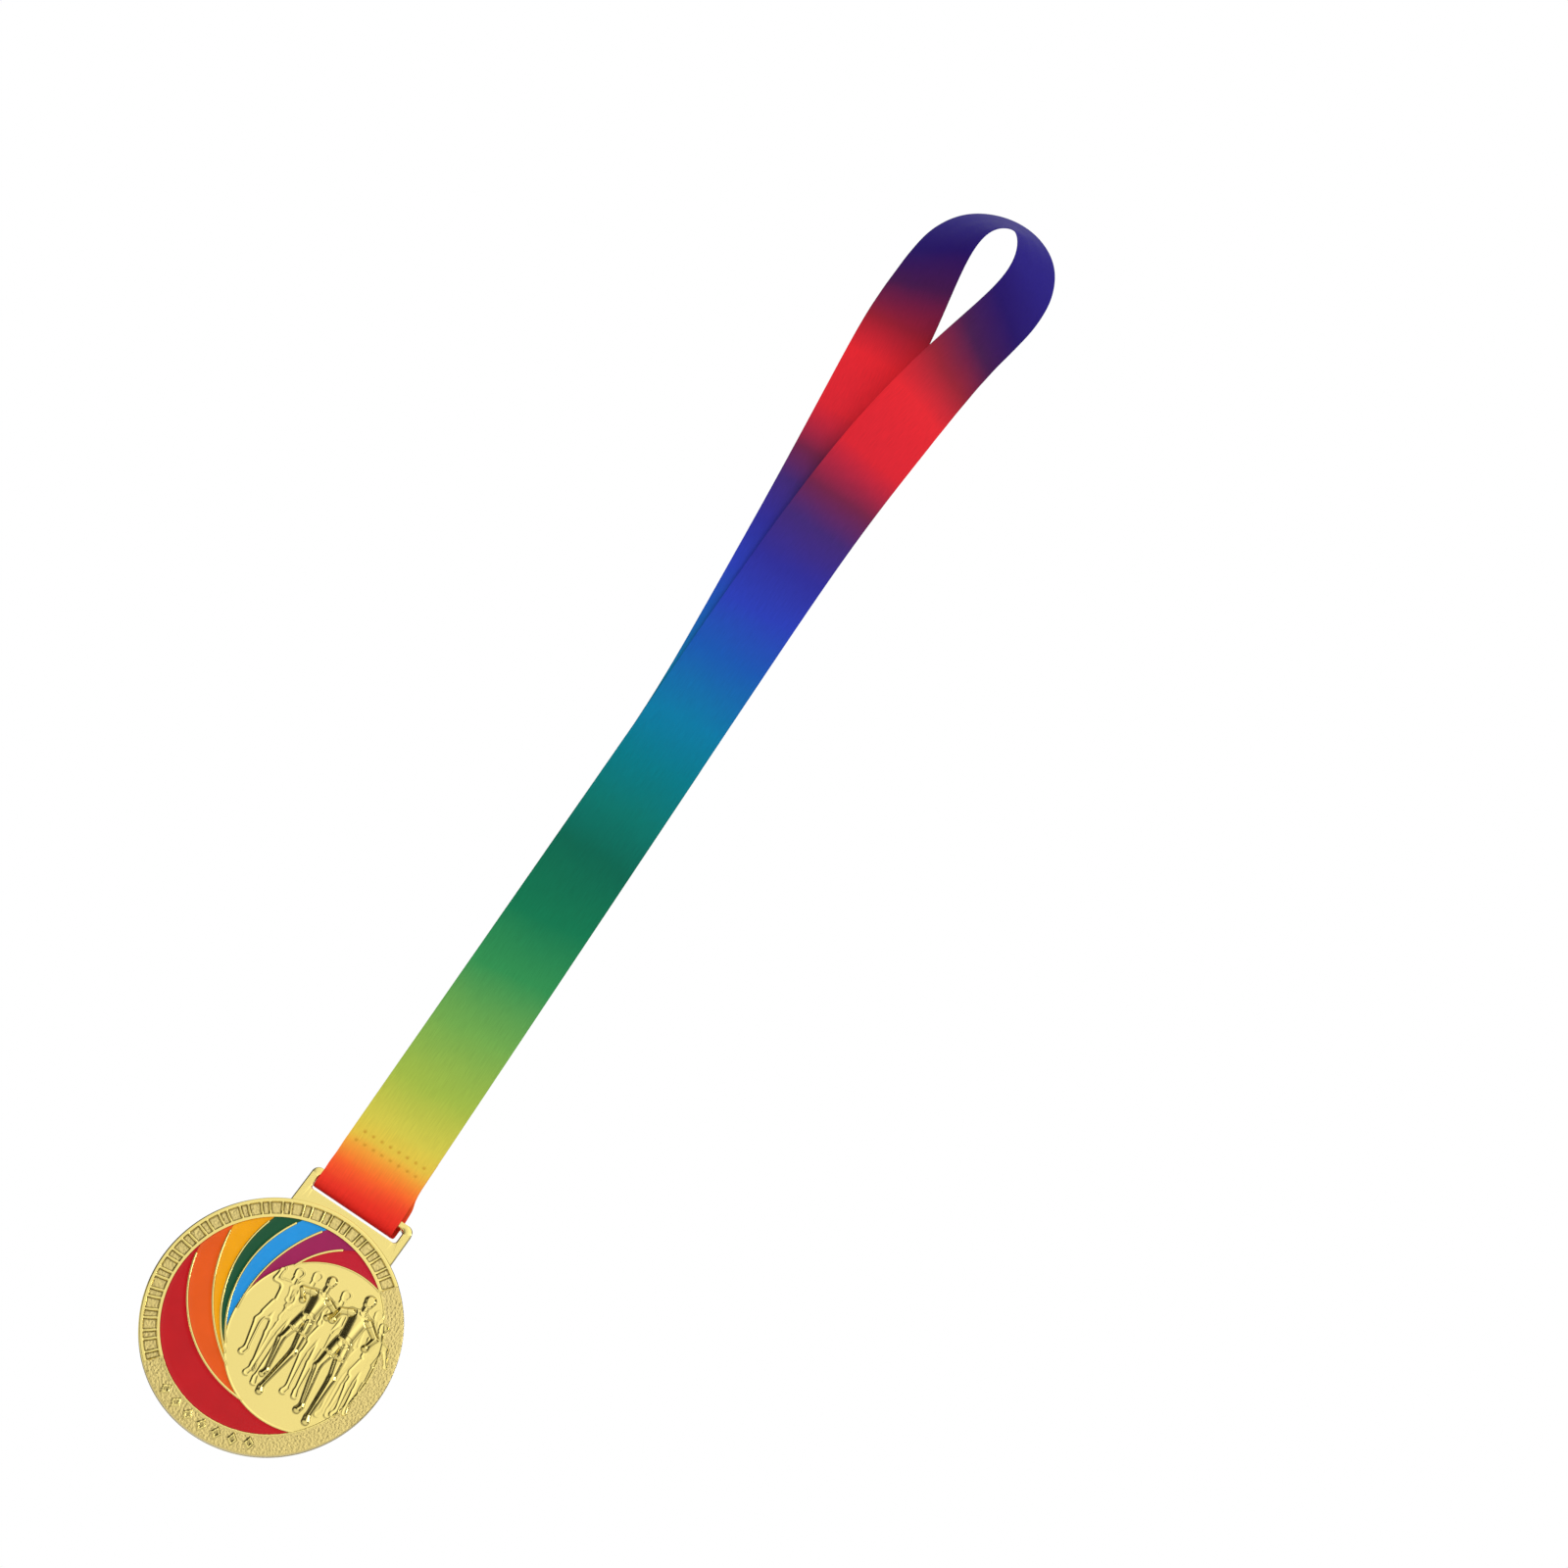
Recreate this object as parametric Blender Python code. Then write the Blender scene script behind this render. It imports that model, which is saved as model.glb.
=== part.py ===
"""Round finisher medal with a swept enamel face, hanging from a printed neck ribbon.

Frame: metres, Z up along the ribbon, the face looks towards -Y, X to the right of the face.
The origin is the centre of the flat back of the casting.
"""

import math

import bmesh
import bpy
import numpy as np
from mathutils import Vector

MM = 0.001

# casting
DISC_R = 32.5
FRONT_Y = -3.0
TAB_FRONT_Y = -2.75
TAB_HALF_W = 15.4
TAB_TOP = 39.9
TAB_FOOT = 20.0
TAB_CORNER_R = 2.0
SLOT_HALF_W = 13.1
SLOT_LOW = 34.0
SLOT_HIGH = 38.2
SLOT_CORNER_R = 1.0
CUT_Y = -4.0

# ring around the face
BORDER_IN = 28.2
BORDER_OUT = 31.5
CELL_FLOOR_Y = -2.6
CELL_START = 51.5
CELL_PAIRS = 18
CELL_PITCH = 10.0
WIDE_CELL = 4.8
NARROW_CELL = 2.8
RIB = 1.2
MATTE_FLOOR_Y = -2.75
MATTE_OUT = 34.0
LOZENGES = 7
LOZENGE_FIRST = 247.0
LOZENGE_STEP = 8.0
LOZENGE_R = 29.7
LOZENGE_LONG = 1.35
LOZENGE_WIDE = 0.85
LOZENGE_TOP_Y = -2.95

# enamel field
FIELD_R = 27.4
POCKET_FLOOR_Y = -1.9
ENAMEL_BACK_Y = -2.0
ENAMEL_FRONT_Y = -2.75
RIDGE_HALF = 0.22
ENAMEL_CLEARANCE = 0.1
RUNNER_X, RUNNER_Z, RUNNER_R = 11.45, 0.7, 21.7
RUNNER_FLOOR_Y = -2.75
RUNNER_EDGE = 0.5
FIGURE_BACK_Y = -2.6
FIGURE_TOP_Y = -3.0
HEAD_R = 1.7

# centre and radius of each swept ridge, from the lower left towards the top
RIDGES = (
    (4.5, 12.2, 31.8),
    (16.3, 19.7, 39.6),
    (14.1, 12.4, 31.5),
    (16.2, 9.6, 30.3),
    (27.5, 5.0, 37.7),
    (16.5, 7.1, 22.2),
)

# ribbon
STRIP_W = 24.0
STRIP_T = 0.45
LAYER_GAP = 0.05
BAR_Z = 39.05
BAR_Y = -1.375
FOLD_INNER_R = 1.8
FOLD_CENTRE_Z = 37.25
FOLD_LEG_TOP = 41.5
STACK_Z = 46.0
TAIL_END = 58.0
LOWER_BEND = 61.0
UPPER_BEND = 196.0
BEND_HALF_GAP = 1.0
JOIN_TOP = 200.0
NOTCH_Z = 199.0
SLOT_CENTRE_X = -0.95
LEAN_FROM = 50.0
STRAP_X = -1.63
STRAP_LEAN = -0.0379

# guide of the neck loop, up the right leg and down the left: across, up, turn of the strip
NECK_GUIDE = (
    (-9.6, 263.5, 3.0),
    (-9.9, 326.5, 11.5),
    (-2.6, 397.5, 50.0),
    (-3.6, 428.5, 53.0),
    (-14.1, 441.5, 35.0),
    (-26.6, 437.5, 32.5),
    (-32.0, 409.5, 42.0),
    (-27.4, 369.6, 0.0),
    (-19.0, 307.5, 0.0),
    (-11.9, 249.5, 0.0),
)
STATIONS_PER_SPAN = 14
REST_SPAN = 4
# share of the loop where the strip starts to pass from the front layer to the back one, and for how long
SWAP_FROM, SWAP_SHARE = 0.3, 0.4


def clear_scene():
    for obj in list(bpy.data.objects):
        bpy.data.objects.remove(obj, do_unlink=True)


def linear(channel):
    c = channel / 255.0
    return c / 12.92 if c <= 0.04045 else ((c + 0.055) / 1.055) ** 2.4


def material(name, rgb, roughness, metallic):
    made = bpy.data.materials.new(name)
    made.use_nodes = True
    shader = made.node_tree.nodes["Principled BSDF"]
    colour = [linear(c) for c in rgb] + [1.0]
    shader.inputs["Base Color"].default_value = colour
    shader.inputs["Roughness"].default_value = roughness
    shader.inputs["Metallic"].default_value = metallic
    made.diffuse_color = colour
    return made


def object_from(bm, name):
    bmesh.ops.recalc_face_normals(bm, faces=bm.faces)
    mesh = bpy.data.meshes.new(name)
    bm.to_mesh(mesh)
    bm.free()
    obj = bpy.data.objects.new(name, mesh)
    bpy.context.collection.objects.link(obj)
    return obj


def add_prism(bm, outline, low, high, axis):
    """Closed prism of a flat outline between two levels along Y or X."""
    rings = []
    for level in (low, high):
        ring = []
        for u, v in outline:
            point = (u, level, v) if axis == "Y" else (level, u, v)
            ring.append(bm.verts.new(Vector(point) * MM))
        rings.append(ring)
    count = len(outline)
    for i in range(count):
        j = (i + 1) % count
        bm.faces.new((rings[0][i], rings[0][j], rings[1][j], rings[1][i]))
    bm.faces.new(rings[0])
    bm.faces.new(rings[1])


def prism(name, outline, low, high, axis="Y"):
    bm = bmesh.new()
    add_prism(bm, outline, low, high, axis)
    return object_from(bm, name)


def circle(cx, cz, r, segments=144):
    steps = [2 * math.pi * i / segments for i in range(segments)]
    return [(cx + r * math.cos(a), cz + r * math.sin(a)) for a in steps]


def rounded_box(x0, x1, z0, z1, r, segments=6):
    corners = ((x1 - r, z0 + r, -90), (x1 - r, z1 - r, 0), (x0 + r, z1 - r, 90), (x0 + r, z0 + r, 180))
    points = []
    for cx, cz, start in corners:
        for i in range(segments + 1):
            a = math.radians(start + 90.0 * i / segments)
            points.append((cx + r * math.cos(a), cz + r * math.sin(a)))
    return points


def sector(r0, r1, start, end, step=2.5):
    count = max(2, math.ceil((end - start) / step))
    angles = [math.radians(start + (end - start) * i / count) for i in range(count + 1)]
    inner = [(r0 * math.cos(a), r0 * math.sin(a)) for a in angles]
    outer = [(r1 * math.cos(a), r1 * math.sin(a)) for a in reversed(angles)]
    return inner + outer


def combine(target, other, operation):
    """Apply one exact Boolean to the target and drop the other object."""
    step = target.modifiers.new(operation.lower(), "BOOLEAN")
    step.operation = operation
    step.solver = "EXACT"
    step.object = other
    bpy.context.view_layer.update()
    graph = bpy.context.evaluated_depsgraph_get()
    result = bpy.data.meshes.new_from_object(target.evaluated_get(graph))
    target.modifiers.clear()
    target.data = result
    bpy.data.objects.remove(other, do_unlink=True)
    return target


def enamel_region(name, index, low, high, clearance):
    """Field area of one colour, between its own ridge and the next one."""
    shape = prism(name, circle(0, 0, FIELD_R - clearance), low, high)
    low, high = low - 1.0, high + 1.0
    for cx, cz, r in RIDGES[:index]:
        inside = prism("inside", circle(cx, cz, r - RIDGE_HALF - clearance, 192), low, high)
        combine(shape, inside, "INTERSECT")
    if index < len(RIDGES):
        cx, cz, r = RIDGES[index]
        beyond = prism("beyond", circle(cx, cz, r + RIDGE_HALF + clearance, 192), low, high)
        combine(shape, beyond, "DIFFERENCE")
    runner = circle(RUNNER_X, RUNNER_Z, RUNNER_R + clearance, 192)
    return combine(shape, prism("runner", runner, low, high), "DIFFERENCE")


def cell_cutter():
    bm = bmesh.new()
    for i in range(CELL_PAIRS):
        wide = CELL_START + CELL_PITCH * i + RIB / 2
        narrow = wide + WIDE_CELL + RIB
        for start, size in ((wide, WIDE_CELL), (narrow, NARROW_CELL)):
            outline = sector(BORDER_IN, BORDER_OUT, start, start + size)
            add_prism(bm, outline, CUT_Y, CELL_FLOOR_Y, "Y")
    return object_from(bm, "cells")


def matte_cutter():
    start = CELL_START + CELL_PITCH * CELL_PAIRS
    outline = sector(BORDER_IN, MATTE_OUT, start, start + 180.0, 2.5)
    return prism("matte", outline, CUT_Y, MATTE_FLOOR_Y)


def lozenges():
    bm = bmesh.new()
    for i in range(LOZENGES):
        a = math.radians(LOZENGE_FIRST + LOZENGE_STEP * i)
        out = Vector((math.cos(a), math.sin(a)))
        side = Vector((-out.y, out.x))
        centre = out * LOZENGE_R
        corners = (
            centre + out * LOZENGE_LONG,
            centre + side * LOZENGE_WIDE,
            centre - out * LOZENGE_LONG,
            centre - side * LOZENGE_WIDE,
        )
        add_prism(bm, [tuple(c) for c in corners], LOZENGE_TOP_Y, ENAMEL_BACK_Y, "Y")
    return object_from(bm, "lozenges")


def runner_field():
    """Shallow floor of the polished disc, inside its raised edge."""
    outline = circle(RUNNER_X, RUNNER_Z, RUNNER_R - RUNNER_EDGE, 192)
    floor = prism("field", outline, CUT_Y, RUNNER_FLOOR_Y)
    inside = prism("inside", circle(0, 0, FIELD_R), CUT_Y - 1.0, 0.0)
    return combine(floor, inside, "INTERSECT")


def limb(start, end, half_start, half_end):
    """Rounded bar between two joints of a figure."""
    a, b = Vector(start), Vector(end)
    heading = math.degrees(math.atan2(b.y - a.y, b.x - a.x))
    points = []
    for centre, half, first in ((a, half_start, heading + 90), (b, half_end, heading - 90)):
        for i in range(7):
            t = math.radians(first + 30.0 * i)
            points.append((centre.x + half * math.cos(t), centre.y + half * math.sin(t)))
    return points


def figure(head, limbs):
    """Plain running figure in low relief."""
    made = prism("figure", circle(head[0], head[1], HEAD_R, 24), FIGURE_TOP_Y, FIGURE_BACK_Y)
    for start, end, half_start, half_end in limbs:
        outline = limb(start, end, half_start, half_end)
        combine(made, prism("limb", outline, FIGURE_TOP_Y, FIGURE_BACK_Y), "UNION")
    return made


def left_runner():
    return figure(
        (5.9, 17.0),
        (
            ((5.9, 15.8), (5.9, 13.0), 0.7, 1.1),
            ((5.9, 12.2), (6.0, 6.0), 2.7, 1.7),
            ((6.0, 6.0), (5.9, 3.5), 1.8, 2.5),
            ((3.4, 12.6), (2.0, 9.6), 0.9, 0.6),
            ((8.5, 12.4), (10.2, 9.0), 0.9, 0.6),
            ((4.8, 3.5), (4.2, -4.5), 1.3, 0.8),
            ((4.2, -4.5), (5.6, -11.5), 0.8, 0.5),
            ((7.1, 3.5), (7.6, -5.0), 1.3, 0.8),
            ((7.6, -5.0), (6.8, -15.0), 0.8, 0.5),
        ),
    )


def right_runner():
    return figure(
        (16.75, 18.0),
        (
            ((16.75, 16.8), (16.9, 14.0), 0.8, 1.2),
            ((17.0, 13.5), (17.1, 6.5), 3.2, 2.0),
            ((17.1, 6.5), (17.2, 2.5), 2.1, 3.0),
            ((14.0, 13.8), (11.4, 9.2), 1.0, 0.7),
            ((20.1, 13.6), (22.4, 8.0), 1.0, 0.7),
            ((15.8, 2.0), (16.6, -6.0), 1.5, 0.9),
            ((16.6, -6.0), (17.8, -13.6), 0.9, 0.6),
            ((18.6, 2.0), (19.8, -6.0), 1.5, 0.9),
            ((19.8, -6.0), (20.5, -14.8), 0.9, 0.6),
        ),
    )


def casting():
    body = prism("medal_body", circle(0, 0, DISC_R, 180), FRONT_Y, 0.0)
    outline = rounded_box(-TAB_HALF_W, TAB_HALF_W, TAB_FOOT, TAB_TOP, TAB_CORNER_R)
    combine(body, prism("tab", outline, TAB_FRONT_Y, 0.0), "UNION")
    slot = rounded_box(-SLOT_HALF_W, SLOT_HALF_W, SLOT_LOW, SLOT_HIGH, SLOT_CORNER_R)
    combine(body, prism("slot", slot, CUT_Y, 1.0), "DIFFERENCE")
    combine(body, cell_cutter(), "DIFFERENCE")
    combine(body, matte_cutter(), "DIFFERENCE")
    combine(body, runner_field(), "DIFFERENCE")
    for index in range(len(RIDGES) + 1):
        pocket = enamel_region("pocket", index, CUT_Y, POCKET_FLOOR_Y, 0.0)
        combine(body, pocket, "DIFFERENCE")
    combine(body, lozenges(), "UNION")
    combine(body, left_runner(), "UNION")
    combine(body, right_runner(), "UNION")
    return body


def strap_x(z):
    """Centre of the hanging straps across, at one height."""
    if z <= TAB_TOP:
        return SLOT_CENTRE_X
    leaning = STRAP_X + STRAP_LEAN * (max(z, LEAN_FROM) - LEAN_FROM)
    if z >= LEAN_FROM:
        return leaning
    share = (z - TAB_TOP) / (LEAN_FROM - TAB_TOP)
    return SLOT_CENTRE_X + (STRAP_X - SLOT_CENTRE_X) * share


def lean(obj):
    """Slide every level of a ribbon piece across to the straps' line."""
    for vertex in obj.data.vertices:
        vertex.co.x += strap_x(vertex.co.z / MM) * MM
    return obj


def layer_edges():
    """Y of the front face and back face of the front strap, the back strap and the tail."""
    front = BAR_Y - LAYER_GAP / 2 - STRIP_T
    pitch = STRIP_T + LAYER_GAP
    return [(front + pitch * i, front + pitch * i + STRIP_T) for i in range(3)]


def fold_arc(radius, top):
    """U around the bar: down the front, round the bottom, up the back."""
    points = [(BAR_Y - radius, top)]
    for i in range(17):
        a = math.radians(180.0 + 180.0 * i / 16)
        points.append((BAR_Y + radius * math.cos(a), FOLD_CENTRE_Z + radius * math.sin(a)))
    points.append((BAR_Y + radius, top))
    return points


def slot_fold():
    """Strip looped through the slot and welded to its own end, as one solid."""
    front, back, tail = layer_edges()
    outer_r = FOLD_INNER_R + STRIP_T
    outline = fold_arc(outer_r, FOLD_LEG_TOP)
    outline += [(tail[1], STACK_Z), (tail[1], TAIL_END), (back[1], TAIL_END)]
    top = LOWER_BEND - BEND_HALF_GAP
    outline += [(back[1], top), (front[0], top), (front[0], LEAN_FROM), (front[0], STACK_Z)]
    body = prism("ribbon_slot_fold", outline, -STRIP_W / 2, STRIP_W / 2, "X")
    hole = fold_arc(FOLD_INNER_R, FOLD_LEG_TOP)
    hole += [(back[1], STACK_Z), (back[0], STACK_Z)]
    wide = STRIP_W / 2 + 1.0
    combine(body, prism("hole", hole, -wide, wide, "X"), "DIFFERENCE")
    return lean(body)


def strap(name, edges):
    low, high = LOWER_BEND + BEND_HALF_GAP, UPPER_BEND - BEND_HALF_GAP
    outline = [(edges[0], low), (edges[1], low), (edges[1], high), (edges[0], high)]
    return lean(prism(name, outline, -STRIP_W / 2, STRIP_W / 2, "X"))


def clamped_spline(knots, values, first_slope, last_slope):
    """Slopes at the knots of the smooth curve through the values, with set slopes at its ends."""
    count = len(knots)
    system, right = np.eye(count), np.zeros(count)
    right[0], right[-1] = first_slope, last_slope
    for i in range(1, count - 1):
        before, after = knots[i] - knots[i - 1], knots[i + 1] - knots[i]
        system[i, i - 1 : i + 2] = after, 2 * (before + after), before
        rise_before = (values[i] - values[i - 1]) / before
        rise_after = (values[i + 1] - values[i]) / after
        right[i] = 3 * (after * rise_before + before * rise_after)
    return np.linalg.solve(system, right)


def spline_at(knots, values, slopes, index, t):
    """Point on one span of the smooth curve, at a share t of the span."""
    span = knots[index + 1] - knots[index]
    t2, t3 = t * t, t * t * t
    return (
        values[index] * (2 * t3 - 3 * t2 + 1)
        + slopes[index] * span * (t3 - 2 * t2 + t)
        + values[index + 1] * (3 * t2 - 2 * t3)
        + slopes[index + 1] * span * (t3 - t2)
    )


def neck_path():
    """Centre of the strip in the plane and its turn, at even steps of every span."""
    start = (strap_x(JOIN_TOP), JOIN_TOP, 0.0)
    guide = np.array([start, *NECK_GUIDE, start])
    chords = np.hypot(*np.diff(guide[:, :2], axis=0).T)
    knots = np.concatenate(([0.0], np.cumsum(chords)))
    upward = np.array((STRAP_LEAN, 1.0)) / math.hypot(STRAP_LEAN, 1.0)
    ends = ((upward[0], -upward[0]), (upward[1], -upward[1]), (0.0, 0.0))
    slopes = [clamped_spline(knots, guide[:, i], *ends[i]) for i in range(3)]
    path = []
    spans = len(guide) - 1
    for index in range(spans):
        for step in range(STATIONS_PER_SPAN + (index == spans - 1)):
            t = step / STATIONS_PER_SPAN
            x, z, turn = (spline_at(knots, guide[:, i], slopes[i], index, t) for i in range(3))
            lying = guide[index, 2] == 0.0 and guide[index + 1, 2] == 0.0
            path.append((x, z, 0.0 if lying else math.radians(max(turn, 0.0))))
    return path


def neck_sections():
    """Corners of the strip at each station."""
    front, back, _ = layer_edges()
    y_front, y_back = sum(front) / 2, sum(back) / 2
    flat = neck_path()
    path = []
    for i, (x, z, turn) in enumerate(flat):
        along = min(max((i / (len(flat) - 1) - SWAP_FROM) / SWAP_SHARE, 0.0), 1.0)
        share = along * along * (3 - 2 * along)
        y = y_front + (y_back - y_front) * share - STRIP_W / 2 * math.sin(turn)
        path.append((Vector((x, y, z)), turn))
    frames = [neck_frame(path, i) for i in range(len(path))]
    rest = (REST_SPAN + 1) * STATIONS_PER_SPAN
    frames[rest] = flatten(frames[rest - 1], frames[rest])
    return [corners(*frame) for frame in frames]


def neck_frame(path, i):
    """Centre, width direction and face direction of the strip at one station."""
    centre, turn = path[i]
    if i in (0, len(path) - 1):
        return centre, Vector((1 if i == 0 else -1, 0, 0)), Vector((0, -1, 0))
    heading = path[i + 1][0] - path[i - 1][0]
    flat = Vector((heading.x, 0, heading.z)).normalized()
    outward = Vector((flat.z, 0, -flat.x))
    width = outward * math.cos(turn) + Vector((0, math.sin(turn), 0))
    heading = (heading - width * heading.dot(width)).normalized()
    face = width.cross(heading)
    if face.y > 0:
        face = -face
    return centre, width, face


def flatten(before, after):
    """Give two neighbouring stations one width direction, so the strip between them is flat."""
    step = after[0] - before[0]
    level = after[0] - before[1] * step.dot(before[1])
    level -= before[2] * step.dot(before[2])
    return level, before[1], before[2]


def corners(centre, width, face):
    half_w, half_t = width * (STRIP_W / 2), face * (STRIP_T / 2)
    return (
        centre + half_w + half_t,
        centre - half_w + half_t,
        centre - half_w - half_t,
        centre + half_w - half_t,
    )


def join_faces(bm, foot, first, last, notch):
    """Close the foot of the loop, where its two legs lie on each other."""
    bm.faces.new(foot)
    bm.faces.new((foot[0], foot[1], first[1], first[0]))
    bm.faces.new((foot[2], foot[3], last[2], last[3]))
    bm.faces.new((foot[0], first[0], first[3], notch[0]))
    bm.faces.new((foot[3], notch[0], last[1], last[2]))
    bm.faces.new((foot[3], foot[0], notch[0]))
    bm.faces.new((foot[1], notch[1], first[2], first[1]))
    bm.faces.new((foot[2], last[3], last[0], notch[1]))
    bm.faces.new((foot[1], foot[2], notch[1]))
    bm.faces.new((first[3], first[2], notch[1], notch[0]))
    bm.faces.new((last[1], last[0], notch[1], notch[0]))


def neck_loop():
    """Both legs of the neck loop, joined at their foot."""
    sections = neck_sections()
    bm = bmesh.new()
    rings = [[bm.verts.new(p * MM) for p in section] for section in sections]
    for a, b in zip(rings, rings[1:]):
        for i in range(4):
            j = (i + 1) % 4
            bm.faces.new((a[i], a[j], b[j], b[i]))
    first, last = rings[0], rings[-1]
    low = UPPER_BEND + BEND_HALF_GAP
    front, back, _ = layer_edges()
    foot = []
    for side, y in ((1, front[0]), (-1, front[0]), (-1, back[1]), (1, back[1])):
        x = strap_x(low) + side * STRIP_W / 2
        foot.append(bm.verts.new(Vector((x, y, low)) * MM))
    notch = []
    for side in (1, -1):
        x = strap_x(NOTCH_Z) + side * STRIP_W / 2
        notch.append(bm.verts.new(Vector((x, BAR_Y, NOTCH_Z)) * MM))
    join_faces(bm, foot, first, last, notch)
    return object_from(bm, "ribbon_neck_loop")


def finish(obj, made, smooth_angle=math.radians(30.0)):
    obj.data.materials.clear()
    obj.data.materials.append(made)
    for polygon in obj.data.polygons:
        polygon.use_smooth = True
    obj.data.set_sharp_from_angle(angle=smooth_angle)


def build():
    clear_scene()
    finish(casting(), material("gold_plate", (240, 222, 134), 0.25, 1.0))
    enamels = (
        ("red", (190, 25, 30)),
        ("orange", (232, 96, 26)),
        ("yellow", (245, 168, 8)),
        ("green", (34, 90, 60)),
        ("blue", (40, 155, 225)),
        ("magenta", (165, 35, 90)),
        ("crimson", (200, 30, 50)),
    )
    for index, (colour, rgb) in enumerate(enamels):
        piece = enamel_region(
            "enamel_" + colour, index, ENAMEL_FRONT_Y, ENAMEL_BACK_Y, ENAMEL_CLEARANCE
        )
        finish(piece, material("enamel_" + colour, rgb, 0.12, 0.0))
    front, back, _ = layer_edges()
    finish(slot_fold(), material("satin_orange", (238, 120, 40), 0.45, 0.0))
    finish(strap("ribbon_front_strap", front), material("satin_green", (30, 120, 70), 0.45, 0.0))
    finish(strap("ribbon_back_strap", back), material("satin_teal", (20, 110, 110), 0.45, 0.0))
    finish(neck_loop(), material("satin_violet", (90, 40, 110), 0.45, 0.0))


build()
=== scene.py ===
import math

import bmesh
import bpy
import numpy as np
from mathutils import Matrix, Vector, noise


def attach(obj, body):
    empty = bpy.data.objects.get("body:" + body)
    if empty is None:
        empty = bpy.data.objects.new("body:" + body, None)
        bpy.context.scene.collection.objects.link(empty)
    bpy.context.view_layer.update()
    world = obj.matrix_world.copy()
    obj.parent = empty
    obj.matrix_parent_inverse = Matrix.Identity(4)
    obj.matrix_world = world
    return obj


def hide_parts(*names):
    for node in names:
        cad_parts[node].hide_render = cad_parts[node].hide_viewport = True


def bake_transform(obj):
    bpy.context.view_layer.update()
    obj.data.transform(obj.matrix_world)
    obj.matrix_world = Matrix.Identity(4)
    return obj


MM = 0.001
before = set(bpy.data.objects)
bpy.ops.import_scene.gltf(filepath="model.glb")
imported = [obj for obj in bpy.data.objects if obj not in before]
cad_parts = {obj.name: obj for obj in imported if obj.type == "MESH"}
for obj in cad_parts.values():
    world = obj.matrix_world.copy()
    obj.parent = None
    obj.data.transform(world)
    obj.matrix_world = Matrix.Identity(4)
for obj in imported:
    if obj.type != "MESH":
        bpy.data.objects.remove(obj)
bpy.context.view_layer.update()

# ---------------------------------------------------------------- sizes, in millimetres
DISC_R = 32.5
FIELD_R = 27.4
CELLS_FROM, CELL_PITCH, WIDE_PITCH = 51.5, 10.0, 6.0  # degrees round the ring
RUNNER_X, RUNNER_Z, RUNNER_R = 11.45, 0.7, 21.7
PLATE_X, PLATE_Z, PLATE_STEPS = 9.5, 0.5, 304
# circles that the ridges between the colours follow: x and z of the middle, radius
RIDGES = (
    (4.54, 12.23, 31.79),
    (16.32, 19.74, 39.58),
    (14.10, 12.41, 31.50),
    (16.18, 9.60, 30.33),
    (27.50, 5.02, 37.73),
    (16.48, 7.11, 22.25),
)
TAB_HALF, TAB_TOP, TAB_FRONT = 15.4, 39.9, 2.75
SLOT_HALF, SLOT_LOW, SLOT_HIGH = 13.1, 34.0, 38.2
FLAT_FACE = 4.5e-7  # square metres: larger faces of the casting are flat
STRIP_W, STRIP_T = 24.0, 0.36
BAR_Y = -1.375
LAYER = 0.5
STRAP_X, STRAP_LEAN, LEAN_FROM = -1.63, -0.0379, 50.0
FOLD_X, FOLD_Z = -0.95, 40.0
MID_Z, JOIN_Z = 128.0, 200.0
# middle of the strip round the neck loop: x, z and how far it is turned edge-on, in degrees
NECK_GUIDE = (
    (-9.6, 263.5, 3.0),
    (-9.9, 326.5, 11.5),
    (-2.6, 397.5, 50.0),
    (-2.0, 430.0, 40.0),
    (-12.8, 446.8, 30.0),
    (-26.4, 441.8, 36.0),
    (-32.4, 410.0, 40.0),
    (-27.4, 369.6, 0.0),
    (-19.0, 307.5, 0.0),
    (-11.9, 249.5, 0.0),
)
WELD_ROWS, WELD_COUNT, WELD_PITCH = (51.7, 54.8), 8, 2.6
PRINT_SHIFT = 12.0  # how far the print on the second leg lags the first
PEEK = 0.8  # how far the back layer shows past the front one
EDGE, RIDGE_SIDE = 0.04, 0.32  # gap between enamel and ridge middle, and half the ridge's width


# ---------------------------------------------------------------- helpers
def linear(rgb):
    """Screen colour of 0 to 255 as linear light."""
    c = np.array(rgb, float) / 255.0
    return tuple(np.where(c <= 0.04045, c / 12.92, ((c + 0.055) / 1.055) ** 2.4))


def smooth(a, b, x):
    """Eased step from 0 at a to 1 at b."""
    t = np.clip((x - a) / (b - a), 0, 1)
    return t * t * (3 - 2 * t)


def mesh_object(name, points, faces):
    """Smooth-shaded object from points in millimetres."""
    mesh = bpy.data.meshes.new(name)
    mesh.from_pydata((np.asarray(points) * MM).tolist(), [], faces)
    mesh.update()
    mesh.polygons.foreach_set("use_smooth", np.ones(len(mesh.polygons), bool))
    obj = bpy.data.objects.new(name, mesh)
    bpy.context.collection.objects.link(obj)
    return obj


def point_attribute(obj, name, values):
    """One number at each point, for the materials."""
    attribute = obj.data.attributes.new(name, "FLOAT", "POINT")
    attribute.data.foreach_set("value", np.asarray(values, np.float32))


def grain(x, z, scale, seed):
    """Smooth noise from -1 to 1 at every point."""
    return np.array([noise.noise(Vector((a * scale, b * scale, seed))) for a, b in zip(x, z)])


def outward(obj, angle, weld=False):
    """Faces turned outward, and the edges sharper than the angle left sharp."""
    bm = bmesh.new()
    bm.from_mesh(obj.data)
    if weld:
        bmesh.ops.remove_doubles(bm, verts=bm.verts, dist=0.00001)
        bmesh.ops.dissolve_degenerate(bm, dist=0.000005, edges=bm.edges)
    bmesh.ops.recalc_face_normals(bm, faces=bm.faces)
    bm.to_mesh(obj.data)
    bm.free()
    obj.data.set_sharp_from_angle(angle=math.radians(angle))


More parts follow.
